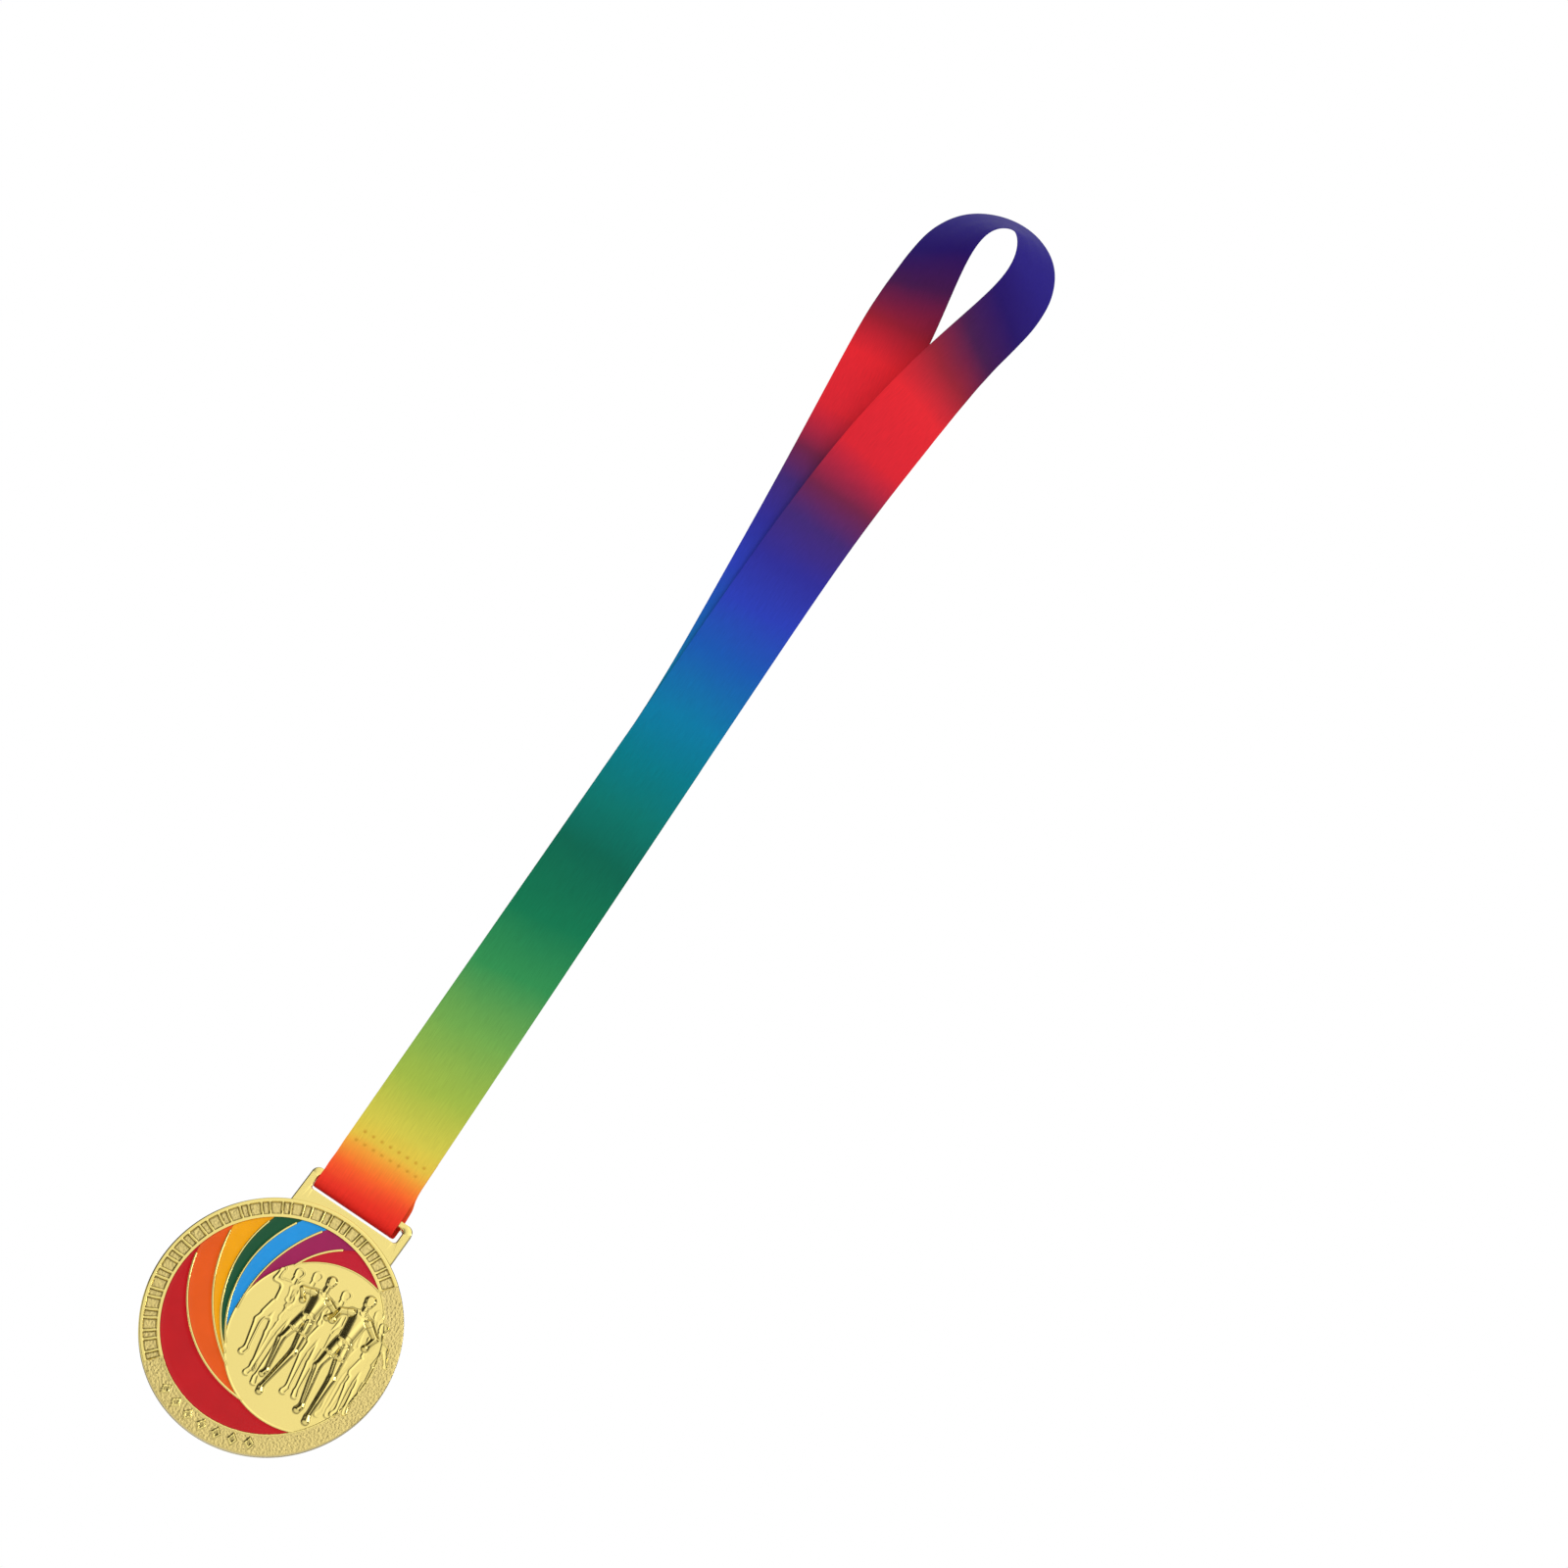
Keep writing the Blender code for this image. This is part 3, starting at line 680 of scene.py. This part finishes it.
def build_enamel(index, colour):
    """One enamel fill, a little higher where it meets its walls."""
    outer, inner = orient(*region_sides(index), index)
    ns, nt = 150, 17
    outer, inner = even(outer, ns), even(inner, ns)
    t = 0.5 - 0.5 * np.cos(np.linspace(0, math.pi, nt))
    start = even(arc_between(0, 0, outer[0], inner[0], 60), 200)
    end = even(arc_between(RUNNER_X, RUNNER_Z, outer[-1], inner[-1], 60), 200)
    pick = np.linspace(0, 1, 200)
    start = np.c_[np.interp(t, pick, start[:, 0]), np.interp(t, pick, start[:, 1])]
    end = np.c_[np.interp(t, pick, end[:, 0]), np.interp(t, pick, end[:, 1])]
    s = np.linspace(0, 1, ns)[:, None, None]
    tt = t[None, :, None]
    grid = (1 - tt) * outer[:, None] + tt * inner[:, None]
    grid = grid + (1 - s) * start[None] + s * end[None]
    grid -= (1 - s) * (1 - tt) * outer[0] + (1 - s) * tt * inner[0]
    grid -= s * (1 - tt) * outer[-1] + s * tt * inner[-1]
    x, z = grid[..., 0].ravel(), grid[..., 1].ravel()
    d = np.minimum(ridge_distance(x, z) - RIDGE_SIDE, FIELD_R - 0.15 - np.hypot(x, z))
    d = np.minimum(d, np.hypot(x - RUNNER_X, z - RUNNER_Z) - RUNNER_R - 0.12)
    d = np.maximum(d, 0)
    high = 2.6 + 0.16 * np.exp(-d / 0.28) + 0.03 * np.tanh(d / 2)
    top = np.c_[x, -high, z]
    bottom = np.c_[x, np.full(len(x), -2.0), z]
    n = ns * nt
    quads = []
    for a in range(ns - 1):
        for b in range(nt - 1):
            p = a * nt + b
            quads.append([p, p + nt, p + nt + 1, p + 1])
            quads.append([n + p, n + p + 1, n + p + nt + 1, n + p + nt])
    rim = [b for b in range(nt)] + [a * nt + nt - 1 for a in range(1, ns)]
    rim += [(ns - 1) * nt + b for b in range(nt - 2, -1, -1)] + [a * nt for a in range(ns - 2, 0, -1)]
    for a, b in zip(rim, rim[1:] + rim[:1]):
        quads.append([a, b, n + b, n + a])
    obj = mesh_object("enamel_fill_" + colour, np.vstack([top, bottom]), quads)
    outward(obj, 40, weld=True)
    return obj


# ---------------------------------------------------------------- ribbon
def strap_x(z):
    """Sideways place of the strip: straight in the slot, then leaning."""
    leaning = STRAP_X + STRAP_LEAN * (z - LEAN_FROM)
    settling = FOLD_X + (STRAP_X - FOLD_X) * np.clip((z - FOLD_Z) / (LEAN_FROM - FOLD_Z), 0, 1)
    return np.where(z > LEAN_FROM, leaning, settling)


def spline(knots, values, first, last, at):
    """Smooth curve through the values with set slopes at both ends."""
    n = len(knots)
    system, right = np.eye(n), np.zeros(n)
    right[0], right[-1] = first, last
    for i in range(1, n - 1):
        h0, h1 = knots[i] - knots[i - 1], knots[i + 1] - knots[i]
        system[i, i - 1 : i + 2] = h1, 2 * (h0 + h1), h0
        right[i] = 3 * (h1 * (values[i] - values[i - 1]) / h0 + h0 * (values[i + 1] - values[i]) / h1)
    m = np.linalg.solve(system, right)
    k = np.clip(np.searchsorted(knots, at, "right") - 1, 0, n - 2)
    h = knots[k + 1] - knots[k]
    t = (at - knots[k]) / h
    return (
        values[k] * (2 * t**3 - 3 * t**2 + 1)
        + m[k] * h * (t**3 - 2 * t**2 + t)
        + values[k + 1] * (3 * t**2 - 2 * t**3)
        + m[k + 1] * h * (t**3 - t**2)
    )


def softened(values, width):
    """Values smoothed along the line, with both ends kept in place and direction."""
    reach = int(3 * width)
    weights = np.exp(-0.5 * (np.arange(-reach, reach + 1) / width) ** 2)
    first = 2 * values[0] - values[reach:0:-1]
    last = 2 * values[-1] - values[-2 : -reach - 2 : -1]
    return np.convolve(np.concatenate([first, values, last]), weights / weights.sum(), "valid")


def neck_curve():
    """Centre line of the strip over the whole neck loop, and how far it is turned."""
    start = (float(strap_x(JOIN_Z)), JOIN_Z, 0.0)
    guide = np.array([start, *NECK_GUIDE, start])
    knots = np.concatenate([[0], np.cumsum(np.hypot(*np.diff(guide[:, :2], axis=0).T))])
    at = np.linspace(0, knots[-1], 520)
    up = np.array((STRAP_LEAN, 1.0)) / math.hypot(STRAP_LEAN, 1)
    x = spline(knots, guide[:, 0], up[0], -up[0], at)
    z = spline(knots, guide[:, 1], up[1], -up[1], at)
    turn = np.radians(np.maximum(spline(knots, guide[:, 2], 0, 0, at), 0))
    turn[at > knots[8]] = 0
    step = at[1] - at[0]
    turn = softened(turn, 12.0 / step)
    x, z = softened(x, 10.0 / step), softened(z, 10.0 / step)
    share = smooth(0.3, 0.7, at / knots[-1])
    y = BAR_Y - LAYER / 2 + LAYER * share - STRIP_W / 2 * np.sin(turn)
    return np.c_[x, y, z], turn


def widths(path, turn):
    """Direction across the strip at each point."""
    heading = np.gradient(path, axis=0)
    flat = heading.copy()
    flat[:, 1] = 0
    flat /= np.linalg.norm(flat, axis=1)[:, None]
    out = np.c_[flat[:, 2], np.zeros(len(path)), -flat[:, 0]]
    width = out * np.cos(turn)[:, None] + np.array([0, 1, 0]) * np.sin(turn)[:, None]
    return width


def strip_mesh(name, path, width, along, dent=None, across=28, sideways=None):
    """Closed woven strip along a path, with slightly thicker edges."""
    heading = np.gradient(path, axis=0)
    heading /= np.linalg.norm(heading, axis=1)[:, None]
    width = width - heading * (width * heading).sum(1)[:, None]
    width /= np.linalg.norm(width, axis=1)[:, None]
    face = np.cross(width, heading)
    face /= np.linalg.norm(face, axis=1)[:, None]
    v = np.linspace(-1, 1, across)
    thicker = 1 + 0.12 * smooth(0.93, 0.97, np.abs(v))
    rounding = np.clip((np.abs(v) - 0.985) / 0.02, 0, 1)
    half = STRIP_T / 2 * thicker * np.sqrt(np.clip(1 - rounding**2, 0.05, 1))
    n = len(path)
    front = path[:, None] + width[:, None] * (v[None, :, None] * STRIP_W / 2)
    lift = np.zeros((n, across))
    if dent is not None:
        lift = dent(along[:, None] + 0 * v, v[None] * STRIP_W / 2 + 0 * along[:, None])
    top = front + face[:, None] * (half[None, :, None] + lift[..., None])
    bottom = front - face[:, None] * (half[None, :, None] - np.minimum(lift, 0)[..., None] * 0.2)
    if sideways is not None:
        top[..., 0] += sideways[:, None]
        bottom[..., 0] += sideways[:, None]
    points = np.vstack([top.reshape(-1, 3), bottom.reshape(-1, 3)])
    quads = []
    m = n * across
    for i in range(n - 1):
        for j in range(across - 1):
            p = i * across + j
            quads.append([p, p + 1, p + across + 1, p + across])
            quads.append([m + p, m + p + across, m + p + across + 1, m + p + 1])
    for i in range(n - 1):
        for j in (0, across - 1):
            p = i * across + j
            quads.append([p, p + across, m + p + across, m + p])
    for i in (0, n - 1):
        for j in range(across - 1):
            p = i * across + j
            quads.append([p, p + 1, m + p + 1, m + p])
    obj = mesh_object(name, points, quads)
    outward(obj, 60)
    where = np.repeat(along, across)
    point_attribute(obj, "along", np.concatenate([where, where]))
    point_attribute(obj, "across", np.tile(v * STRIP_W / 2, 2 * n))
    return obj


def length_of(path):
    """Length along a path up to each point."""
    return np.concatenate([[0], np.cumsum(np.linalg.norm(np.diff(path, axis=0), axis=1))])


def front_lower_path():
    """Tail end behind the bar, round through the slot, up the front to the middle of the straps."""
    back_y, front_y = BAR_Y + 1.5 * LAYER, BAR_Y - LAYER / 2
    r, cz = 2.03, 37.25
    tail = [(back_y, z) for z in np.arange(58.0, 47.0, -0.5)]
    ease = np.linspace(0, 1, 12)[1:]
    down = [(back_y + (BAR_Y + r - back_y) * smooth(0, 1, t), 47.0 - 5.5 * t) for t in ease]
    sink = [(BAR_Y + r, z) for z in np.arange(41.0, 37.3, -0.5)]
    bend = [(BAR_Y + r * math.cos(a), cz - r * math.sin(a)) for a in np.linspace(0, math.pi, 26)]
    climb = [(BAR_Y - r, z) for z in np.arange(37.7, 41.3, 0.5)]
    ease = np.linspace(0, 1, 12)
    up = [(BAR_Y - r + (front_y - BAR_Y + r) * smooth(0, 1, t), 41.5 + 5.5 * t) for t in ease]
    weld = [(front_y, z) for z in np.arange(47.4, 58.0, 0.3)]
    rest = [(front_y, z) for z in np.arange(58.5, MID_Z, 0.9)] + [(front_y, MID_Z)]
    yz = np.array(tail + down + sink + bend + climb + up + weld + rest)
    sideways = PEEK * smooth(0.0, 1.8, yz[:, 0] - BAR_Y) * (1 - smooth(44.0, 49.0, yz[:, 1]))
    path = np.c_[strap_x(yz[:, 1]), yz]
    bottom = len(tail) + len(down) + len(sink) + len(bend) // 2
    return path, bottom, sideways


def weld_pits(z, across):
    """Shallow round pits where the layers are welded, in two rows."""
    dent = np.zeros_like(z)
    for k, row in enumerate(WELD_ROWS):
        for i in range(WELD_COUNT):
            offset = (i - (WELD_COUNT - 1) / 2) * WELD_PITCH + (0.35 if k else -0.35)
            d = np.hypot(z - row, across - offset)
            dent -= 0.2 * (1 - smooth(0.1, 0.7, d))
            dent += 0.05 * np.exp(-(((d - 0.75) / 0.2) ** 2))
    return dent


def satin_waves(z, across):
    """Slow, shallow unevenness of a light woven strip."""
    slow = 0.03 * np.sin(z * 0.21 + across * 0.35) * np.cos(across * 0.3)
    return slow + 0.02 * np.sin(z * 0.57 - across * 0.2)


def build_ribbon():
    """The strip in three lengths: round the bar and up the front, the back layer, the neck loop."""
    neck, turn = neck_curve()
    neck_width = widths(neck, turn)
    neck_width = np.c_[tuple(softened(neck_width[:, i], 9.0 / 1.03) for i in range(3))]
    neck_width[0], neck_width[-1] = (1, 0, 0), (-1, 0, 0)

    front, bottom, sideways = front_lower_path()
    length = length_of(front)
    along = np.abs(length - length[bottom])
    front_up = length[-1] - length[bottom]
    z_of = front[:, 2]

    def front_dent(s, a):
        zz = np.broadcast_to(z_of[:, None], s.shape)
        on_front = (np.arange(len(z_of)) > bottom)[:, None]
        return weld_pits(zz, a) * on_front + satin_waves(zz, a) * (zz > 60)

    width = np.tile((1.0, 0, 0), (len(front), 1))
    lower_front = strip_mesh("ribbon_fold_and_front", front, width, along, front_dent, 72, sideways)
    across = np.linspace(-1, 1, 72) * STRIP_W / 2
    pits = -weld_pits(np.broadcast_to(z_of[:, None], (len(front), 72)), across[None]) / 0.2
    pits = np.clip(pits * (np.arange(len(front)) > bottom)[:, None], 0, 1).ravel()
    point_attribute(lower_front, "pit", np.concatenate([pits, 0 * pits]))

    back_y = BAR_Y + LAYER / 2
    zs = np.linspace(47.6, MID_Z, 135)
    back = np.c_[strap_x(zs), np.full(len(zs), back_y), zs]
    back_along = length_of(back) + (front_up - (MID_Z - zs[0])) - PRINT_SHIFT
    width = np.tile((-1.0, 0, 0), (len(back), 1))
    lower_back = strip_mesh("ribbon_back_layer", back[::-1], width, back_along[::-1], None, 28)

    zs = np.arange(MID_Z, JOIN_Z, 1.0)
    start = np.c_[strap_x(zs), np.full(len(zs), BAR_Y - LAYER / 2), zs]
    stop = np.c_[strap_x(zs), np.full(len(zs), back_y), zs][::-1]
    path = np.vstack([start, neck, stop])
    rising, falling = np.tile((1.0, 0, 0), (len(start), 1)), np.tile((-1.0, 0, 0), (len(stop), 1))
    width = np.vstack([rising, neck_width, falling])
    run = length_of(path)
    total = run[-1]
    along = front_up + np.minimum(run, total - run - PRINT_SHIFT)

    def neck_dent(s, a):
        return satin_waves(s * 0.8, a) * 1.5

    upper = strip_mesh("ribbon_neck_strip", path, width, along, neck_dent, 30)
    return lower_front, lower_back, upper, front_up + total / 2


# ---------------------------------------------------------------- materials
def new_material(name):
    """Fresh material with its node tree and its shader."""
    made = bpy.data.materials.new(name)
    made.use_nodes = True
    return made, made.node_tree, made.node_tree.nodes["Principled BSDF"]


def fill_inputs(tree, made, sockets):
    """Each input linked to an output or set to a value."""
    for key, value in sockets.items():
        if isinstance(value, bpy.types.NodeSocket):
            tree.links.new(value, made.inputs[key])
        else:
            made.inputs[key].default_value = value


def node(tree, kind, sockets=None, **settings):
    """New node with its settings and its inputs."""
    made = tree.nodes.new(kind)
    for key, value in settings.items():
        setattr(made, key, value)
    fill_inputs(tree, made, sockets or {})
    return made


def attribute(tree, name):
    """Number that the mesh carries at each point."""
    return node(tree, "ShaderNodeAttribute", attribute_name=name).outputs["Fac"]


def computed(tree, operation, *terms):
    """Result of one operation on numbers and outputs."""
    return node(tree, "ShaderNodeMath", dict(enumerate(terms)), operation=operation).outputs["Value"]


def clouds(tree, place, scale, detail=2):
    """Noise from 0 to 1."""
    sockets = {"Vector": place, "Scale": scale, "Detail": detail}
    return node(tree, "ShaderNodeTexNoise", sockets).outputs["Fac"]


def ranged(tree, value, low, high, start=0.0, end=1.0):
    """A value between start and end, spread from low to high."""
    sockets = {"Value": value, "From Min": start, "From Max": end, "To Min": low, "To Max": high}
    return node(tree, "ShaderNodeMapRange", sockets).outputs["Result"]


def mixed(tree, factor, a, b, blend="MIX"):
    """Two colours put together."""
    sockets = {"Factor": factor, "A": a, "B": b}
    return node(tree, "ShaderNodeMix", sockets, data_type="RGBA", blend_type=blend).outputs["Result"]


def colour_ramp(tree, source, stops):
    """Colours along a value from 0 to 1."""
    ramp = node(tree, "ShaderNodeValToRGB", {"Fac": source})
    elements = ramp.color_ramp.elements
    while len(elements) < len(stops):
        elements.new(1.0)
    for element, (at, rgb) in zip(list(elements), stops):
        element.position = at
        element.color = (*rgb, 1)
    return ramp.outputs["Color"]


def roughen(tree, shader, height, strength, distance):
    """Fine unevenness of the surface."""
    bump = node(tree, "ShaderNodeBump", {"Height": height, "Strength": strength, "Distance": distance})
    tree.links.new(bump.outputs["Normal"], shader.inputs["Normal"])


def gold_material():
    """Gold plating: polished or matte and grained, with painted shade darkening the creases and relief
    edges.
    """
    made, tree, shader = new_material("gold_plating")
    matte, dark = attribute(tree, "matte"), attribute(tree, "dark")
    place = node(tree, "ShaderNodeTexCoord").outputs["Object"]
    fine, wide = clouds(tree, place, 2600, 3), clouds(tree, place, 90)
    tint = mixed(tree, matte, (*linear((246, 226, 138)), 1), (*linear((238, 216, 138)), 1))
    speckled = mixed(tree, matte, tint, ranged(tree, fine, 0.74, 1.16), "MULTIPLY")
    # painted shade: dark colour mixed in where the dark attribute marks creases and relief edges
    shaded_gold = mixed(tree, dark, speckled, (*linear((70, 54, 16)), 1))
    rough = computed(tree, "MULTIPLY_ADD", wide, 0.06, ranged(tree, matte, 0.09, 0.3))
    fill_inputs(tree, shader, {"Base Color": shaded_gold, "Roughness": rough, "Metallic": 1.0})
    roughen(tree, shader, fine, computed(tree, "MULTIPLY", matte, 0.9), 0.00006)
    return made


def enamel_material(name, rgb):
    """Smooth opaque enamel, very slightly clouded."""
    made, tree, shader = new_material("enamel_" + name)
    cloud = clouds(tree, node(tree, "ShaderNodeTexCoord").outputs["Object"], 160)
    base = np.array(linear(rgb))
    tint = mixed(tree, cloud, (*(base * 0.88), 1), (*np.minimum(base * 1.08, 1), 1))
    gloss = {"Roughness": 0.2, "Specular IOR Level": 0.12, "Coat Weight": 0.1, "Coat Roughness": 0.04}
    fill_inputs(tree, shader, {"Base Color": tint, **gloss})
    roughen(tree, shader, cloud, 0.15, 0.00005)
    return made


# colour of the print along the strip: distance from the slot in millimetres, colour
PRINT = (
    (0, (224, 32, 30)), (5, (238, 56, 38)), (9, (248, 84, 44)),
    (12, (251, 112, 46)), (16, (248, 160, 58)), (20, (232, 198, 72)),
    (26, (216, 204, 78)), (40, (166, 190, 74)), (60, (116, 172, 80)),
    (80, (52, 145, 82)), (100, (18, 120, 80)), (125, (8, 102, 80)),
    (142, (6, 117, 108)), (160, (0, 121, 136)), (178, (6, 122, 164)),
    (204, (24, 88, 178)), (224, (42, 62, 182)), (244, (47, 45, 152)),
    (262, (66, 40, 116)), (276, (112, 34, 72)), (296, (218, 36, 50)),
    (322, (230, 37, 48)), (338, (150, 29, 50)), (354, (72, 24, 78)),
    # the two last stops, at the top of the neck loop, are lifted to a lighter blue than the violet print:
    # painted satin sheen
    (372, (38, 16, 104)), (392, (43, 31, 130)), (418, (47, 37, 138)),
)


def ribbon_material(longest):
    """Satin with its print, fine streaks, a weave and browned weld pits."""
    made, tree, shader = new_material("printed_satin")
    along, across, pit = (attribute(tree, name) for name in ("along", "across", "pit"))
    place = node(tree, "ShaderNodeTexCoord").outputs["Object"]
    drift = computed(tree, "MULTIPLY_ADD", clouds(tree, place, 55, 1), 5.0, -2.5)
    skewed = computed(tree, "MULTIPLY_ADD", across, -0.05, computed(tree, "ADD", along, drift))
    share = computed(tree, "DIVIDE", skewed, longest)
    stops = [(min(at / longest, 1.0), linear(rgb)) for at, rgb in PRINT]
    printed = colour_ramp(tree, share, stops)

    coords = node(tree, "ShaderNodeCombineXYZ", {"X": along, "Y": across}).outputs["Vector"]
    stretch = node(tree, "ShaderNodeMapping", {"Vector": coords, "Scale": (0.12, 2.6, 1)})
    streak = clouds(tree, stretch.outputs["Vector"], 1.6, 3)
    streaked = mixed(tree, 1.0, printed, ranged(tree, streak, 0.8, 1.18), "MULTIPLY")
    browned = mixed(tree, computed(tree, "MULTIPLY", pit, 0.7), streaked, (*linear((196, 140, 40)), 1))

    threads = {"Vector": coords, "Scale": 2.2, "Distortion": 1.2}
    weave = node(tree, "ShaderNodeTexWave", threads, wave_type="BANDS", bands_direction="X")
    height = computed(tree, "MULTIPLY_ADD", weave.outputs["Fac"], 0.5, streak)
    roughen(tree, shader, height, 0.25, 0.00008)
    fill_inputs(tree, shader, {"Base Color": browned, "Roughness": 0.4, "IOR": 1.14})
    return made


# ---------------------------------------------------------------- build
gold = gold_material()
for piece in (build_casting(), build_plate()):
    piece.data.materials.append(gold)
    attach(piece, "medal")
    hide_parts("medal_body")

ENAMELS = (
    ("red", (196, 22, 30)),
    ("orange", (236, 92, 22)),
    ("yellow", (248, 168, 6)),
    ("green", (24, 84, 52)),
    ("blue", (34, 150, 226)),
    ("magenta", (160, 30, 88)),
    ("crimson", (198, 24, 46)),
)
for number, (colour_name, colour_rgb) in enumerate(ENAMELS):
    fill = build_enamel(number, colour_name)
    fill.data.materials.append(enamel_material(colour_name, colour_rgb))
    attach(fill, "medal")
    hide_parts("enamel_" + colour_name)

lower_front, lower_back, upper_strip, longest_run = build_ribbon()
satin = ribbon_material(longest_run)
for piece in (lower_front, lower_back, upper_strip):
    piece.data.materials.append(satin)
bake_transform(lower_front)
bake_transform(lower_back)
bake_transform(upper_strip)
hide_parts("ribbon_slot_fold", "ribbon_front_strap")
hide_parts("ribbon_back_strap")
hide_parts("ribbon_neck_loop")


# ---------------------------------------------------------------- stage
UPWARD = (0, 0, 1)
MIRROR_WAY = (-0.103, -0.966, 0.237)  # where the polished plate reflects the camera's look
SIDE_WAY = (0.82, 0.0, 0.57)
SOFT_SHADES = ((0.0, 0.42), (0.5, 0.68), (1.0, 0.8))
BANDS = (
    (0.0, 0.6), (0.1, 0.3), (0.2, 0.04), (0.36, 0.04), (0.44, 0.35), (0.48, 0.92),
    (0.56, 1.0), (0.64, 1.3), (0.76, 1.2), (0.86, 0.35), (1.0, 0.2),
)
FLOOR_HALF, FLOOR_Z = 40.0, -0.45


def area_light(name, place, aim, size, power):
    """Square soft light turned to a point."""
    data = bpy.data.lights.new(name, "AREA")
    data.shape = "RECTANGLE"
    data.size = data.size_y = size
    data.energy = power
    lamp = bpy.data.objects.new(name, data)
    lamp.location = place
    lamp.rotation_euler = (Vector(aim) - Vector(place)).to_track_quat("-Z", "Y").to_euler()
    bpy.context.collection.objects.link(lamp)
    return lamp


def facing(tree, ray, way):
    """How far a ray points one way, from 0 to 1."""
    dot = node(tree, "ShaderNodeVectorMath", {0: ray, 1: way}, operation="DOT_PRODUCT")
    return computed(tree, "MULTIPLY_ADD", dot.outputs["Value"], 0.5, 0.5)


def backdrop(tree, source, shades, strength=1.0):
    """Surroundings in grey levels along a value."""
    stops = [(at, (grey, grey, grey * 0.985)) for at, grey in shades]
    sockets = {"Color": colour_ramp(tree, source, stops), "Strength": strength}
    return node(tree, "ShaderNodeBackground", sockets).outputs["Background"]


def build_world():
    """White behind the object, a soft studio for its colours and a banded one for reflections."""
    world = bpy.data.worlds.new("studio")
    bpy.context.scene.world = world
    world.use_nodes = True
    tree = world.node_tree
    tree.nodes.clear()
    ray = node(tree, "ShaderNodeTexCoord").outputs["Generated"]
    soft = backdrop(tree, facing(tree, ray, UPWARD), SOFT_SHADES)
    level = ranged(tree, facing(tree, ray, MIRROR_WAY), 0.4, 1.0, 0.65, 0.94)
    banded = backdrop(tree, facing(tree, ray, SIDE_WAY), BANDS, level)
    white = node(tree, "ShaderNodeBackground", {"Color": (1, 1, 1, 1)}).outputs["Background"]
    kinds = node(tree, "ShaderNodeLightPath").outputs
    lit = node(tree, "ShaderNodeMixShader", {"Fac": kinds["Is Glossy Ray"], 1: soft, 2: banded})
    seen = {"Fac": kinds["Is Camera Ray"], 1: lit.outputs["Shader"], 2: white}
    final = node(tree, "ShaderNodeMixShader", seen)
    node(tree, "ShaderNodeOutputWorld", {"Surface": final.outputs["Shader"]})


def build_floor():
    """Plain pale floor."""
    mesh = bpy.data.meshes.new("floor")
    corners = [(a * FLOOR_HALF, b * FLOOR_HALF, FLOOR_Z) for a, b in ((-1, -1), (1, -1), (1, 1), (-1, 1))]
    mesh.from_pydata(corners, [], [(0, 1, 2, 3)])
    floor = bpy.data.objects.new("floor", mesh)
    bpy.context.collection.objects.link(floor)
    made, _, shader = new_material("pale_floor")
    shader.inputs["Base Color"].default_value = (0.9, 0.9, 0.9, 1)
    shader.inputs["Roughness"].default_value = 0.8
    mesh.materials.append(made)


def build_camera():
    """Camera at the usual view of the medal, rolled so that the ribbon runs to the upper right."""
    data = bpy.data.cameras.new("camera")
    data.lens, data.sensor_width = 55.96, 36.0
    camera = bpy.data.objects.new("camera", data)
    bpy.context.collection.objects.link(camera)
    place = Vector((65.51, -616.57, -151.34)) * MM
    aim = Vector((26.81, -3.0, 211.88)) * MM
    forward = (aim - place).normalized()
    right = forward.cross(Vector((0, 0, 1))).normalized()
    down = forward.cross(right)
    roll = math.radians(-35.15)
    across = right * math.cos(roll) + down * math.sin(roll)
    below = down * math.cos(roll) - right * math.sin(roll)
    turn = Matrix((across, -below, -forward)).transposed()
    camera.matrix_world = Matrix.Translation(place) @ turn.to_4x4()
    data.clip_start, data.clip_end = 0.01, 100.0
    bpy.context.scene.camera = camera


build_world()
build_floor()
build_camera()
key = area_light("key", (0.3, -1.0, 0.55), (0, 0, 0.2), 1.0, 4.4)
key.visible_glossy = False
glint = area_light("glint", (0.95, -0.55, 0.75), (0, 0, 0.1), 0.3, 3.0)
glint.visible_diffuse = False
bpy.context.scene.view_settings.view_transform = "Standard"
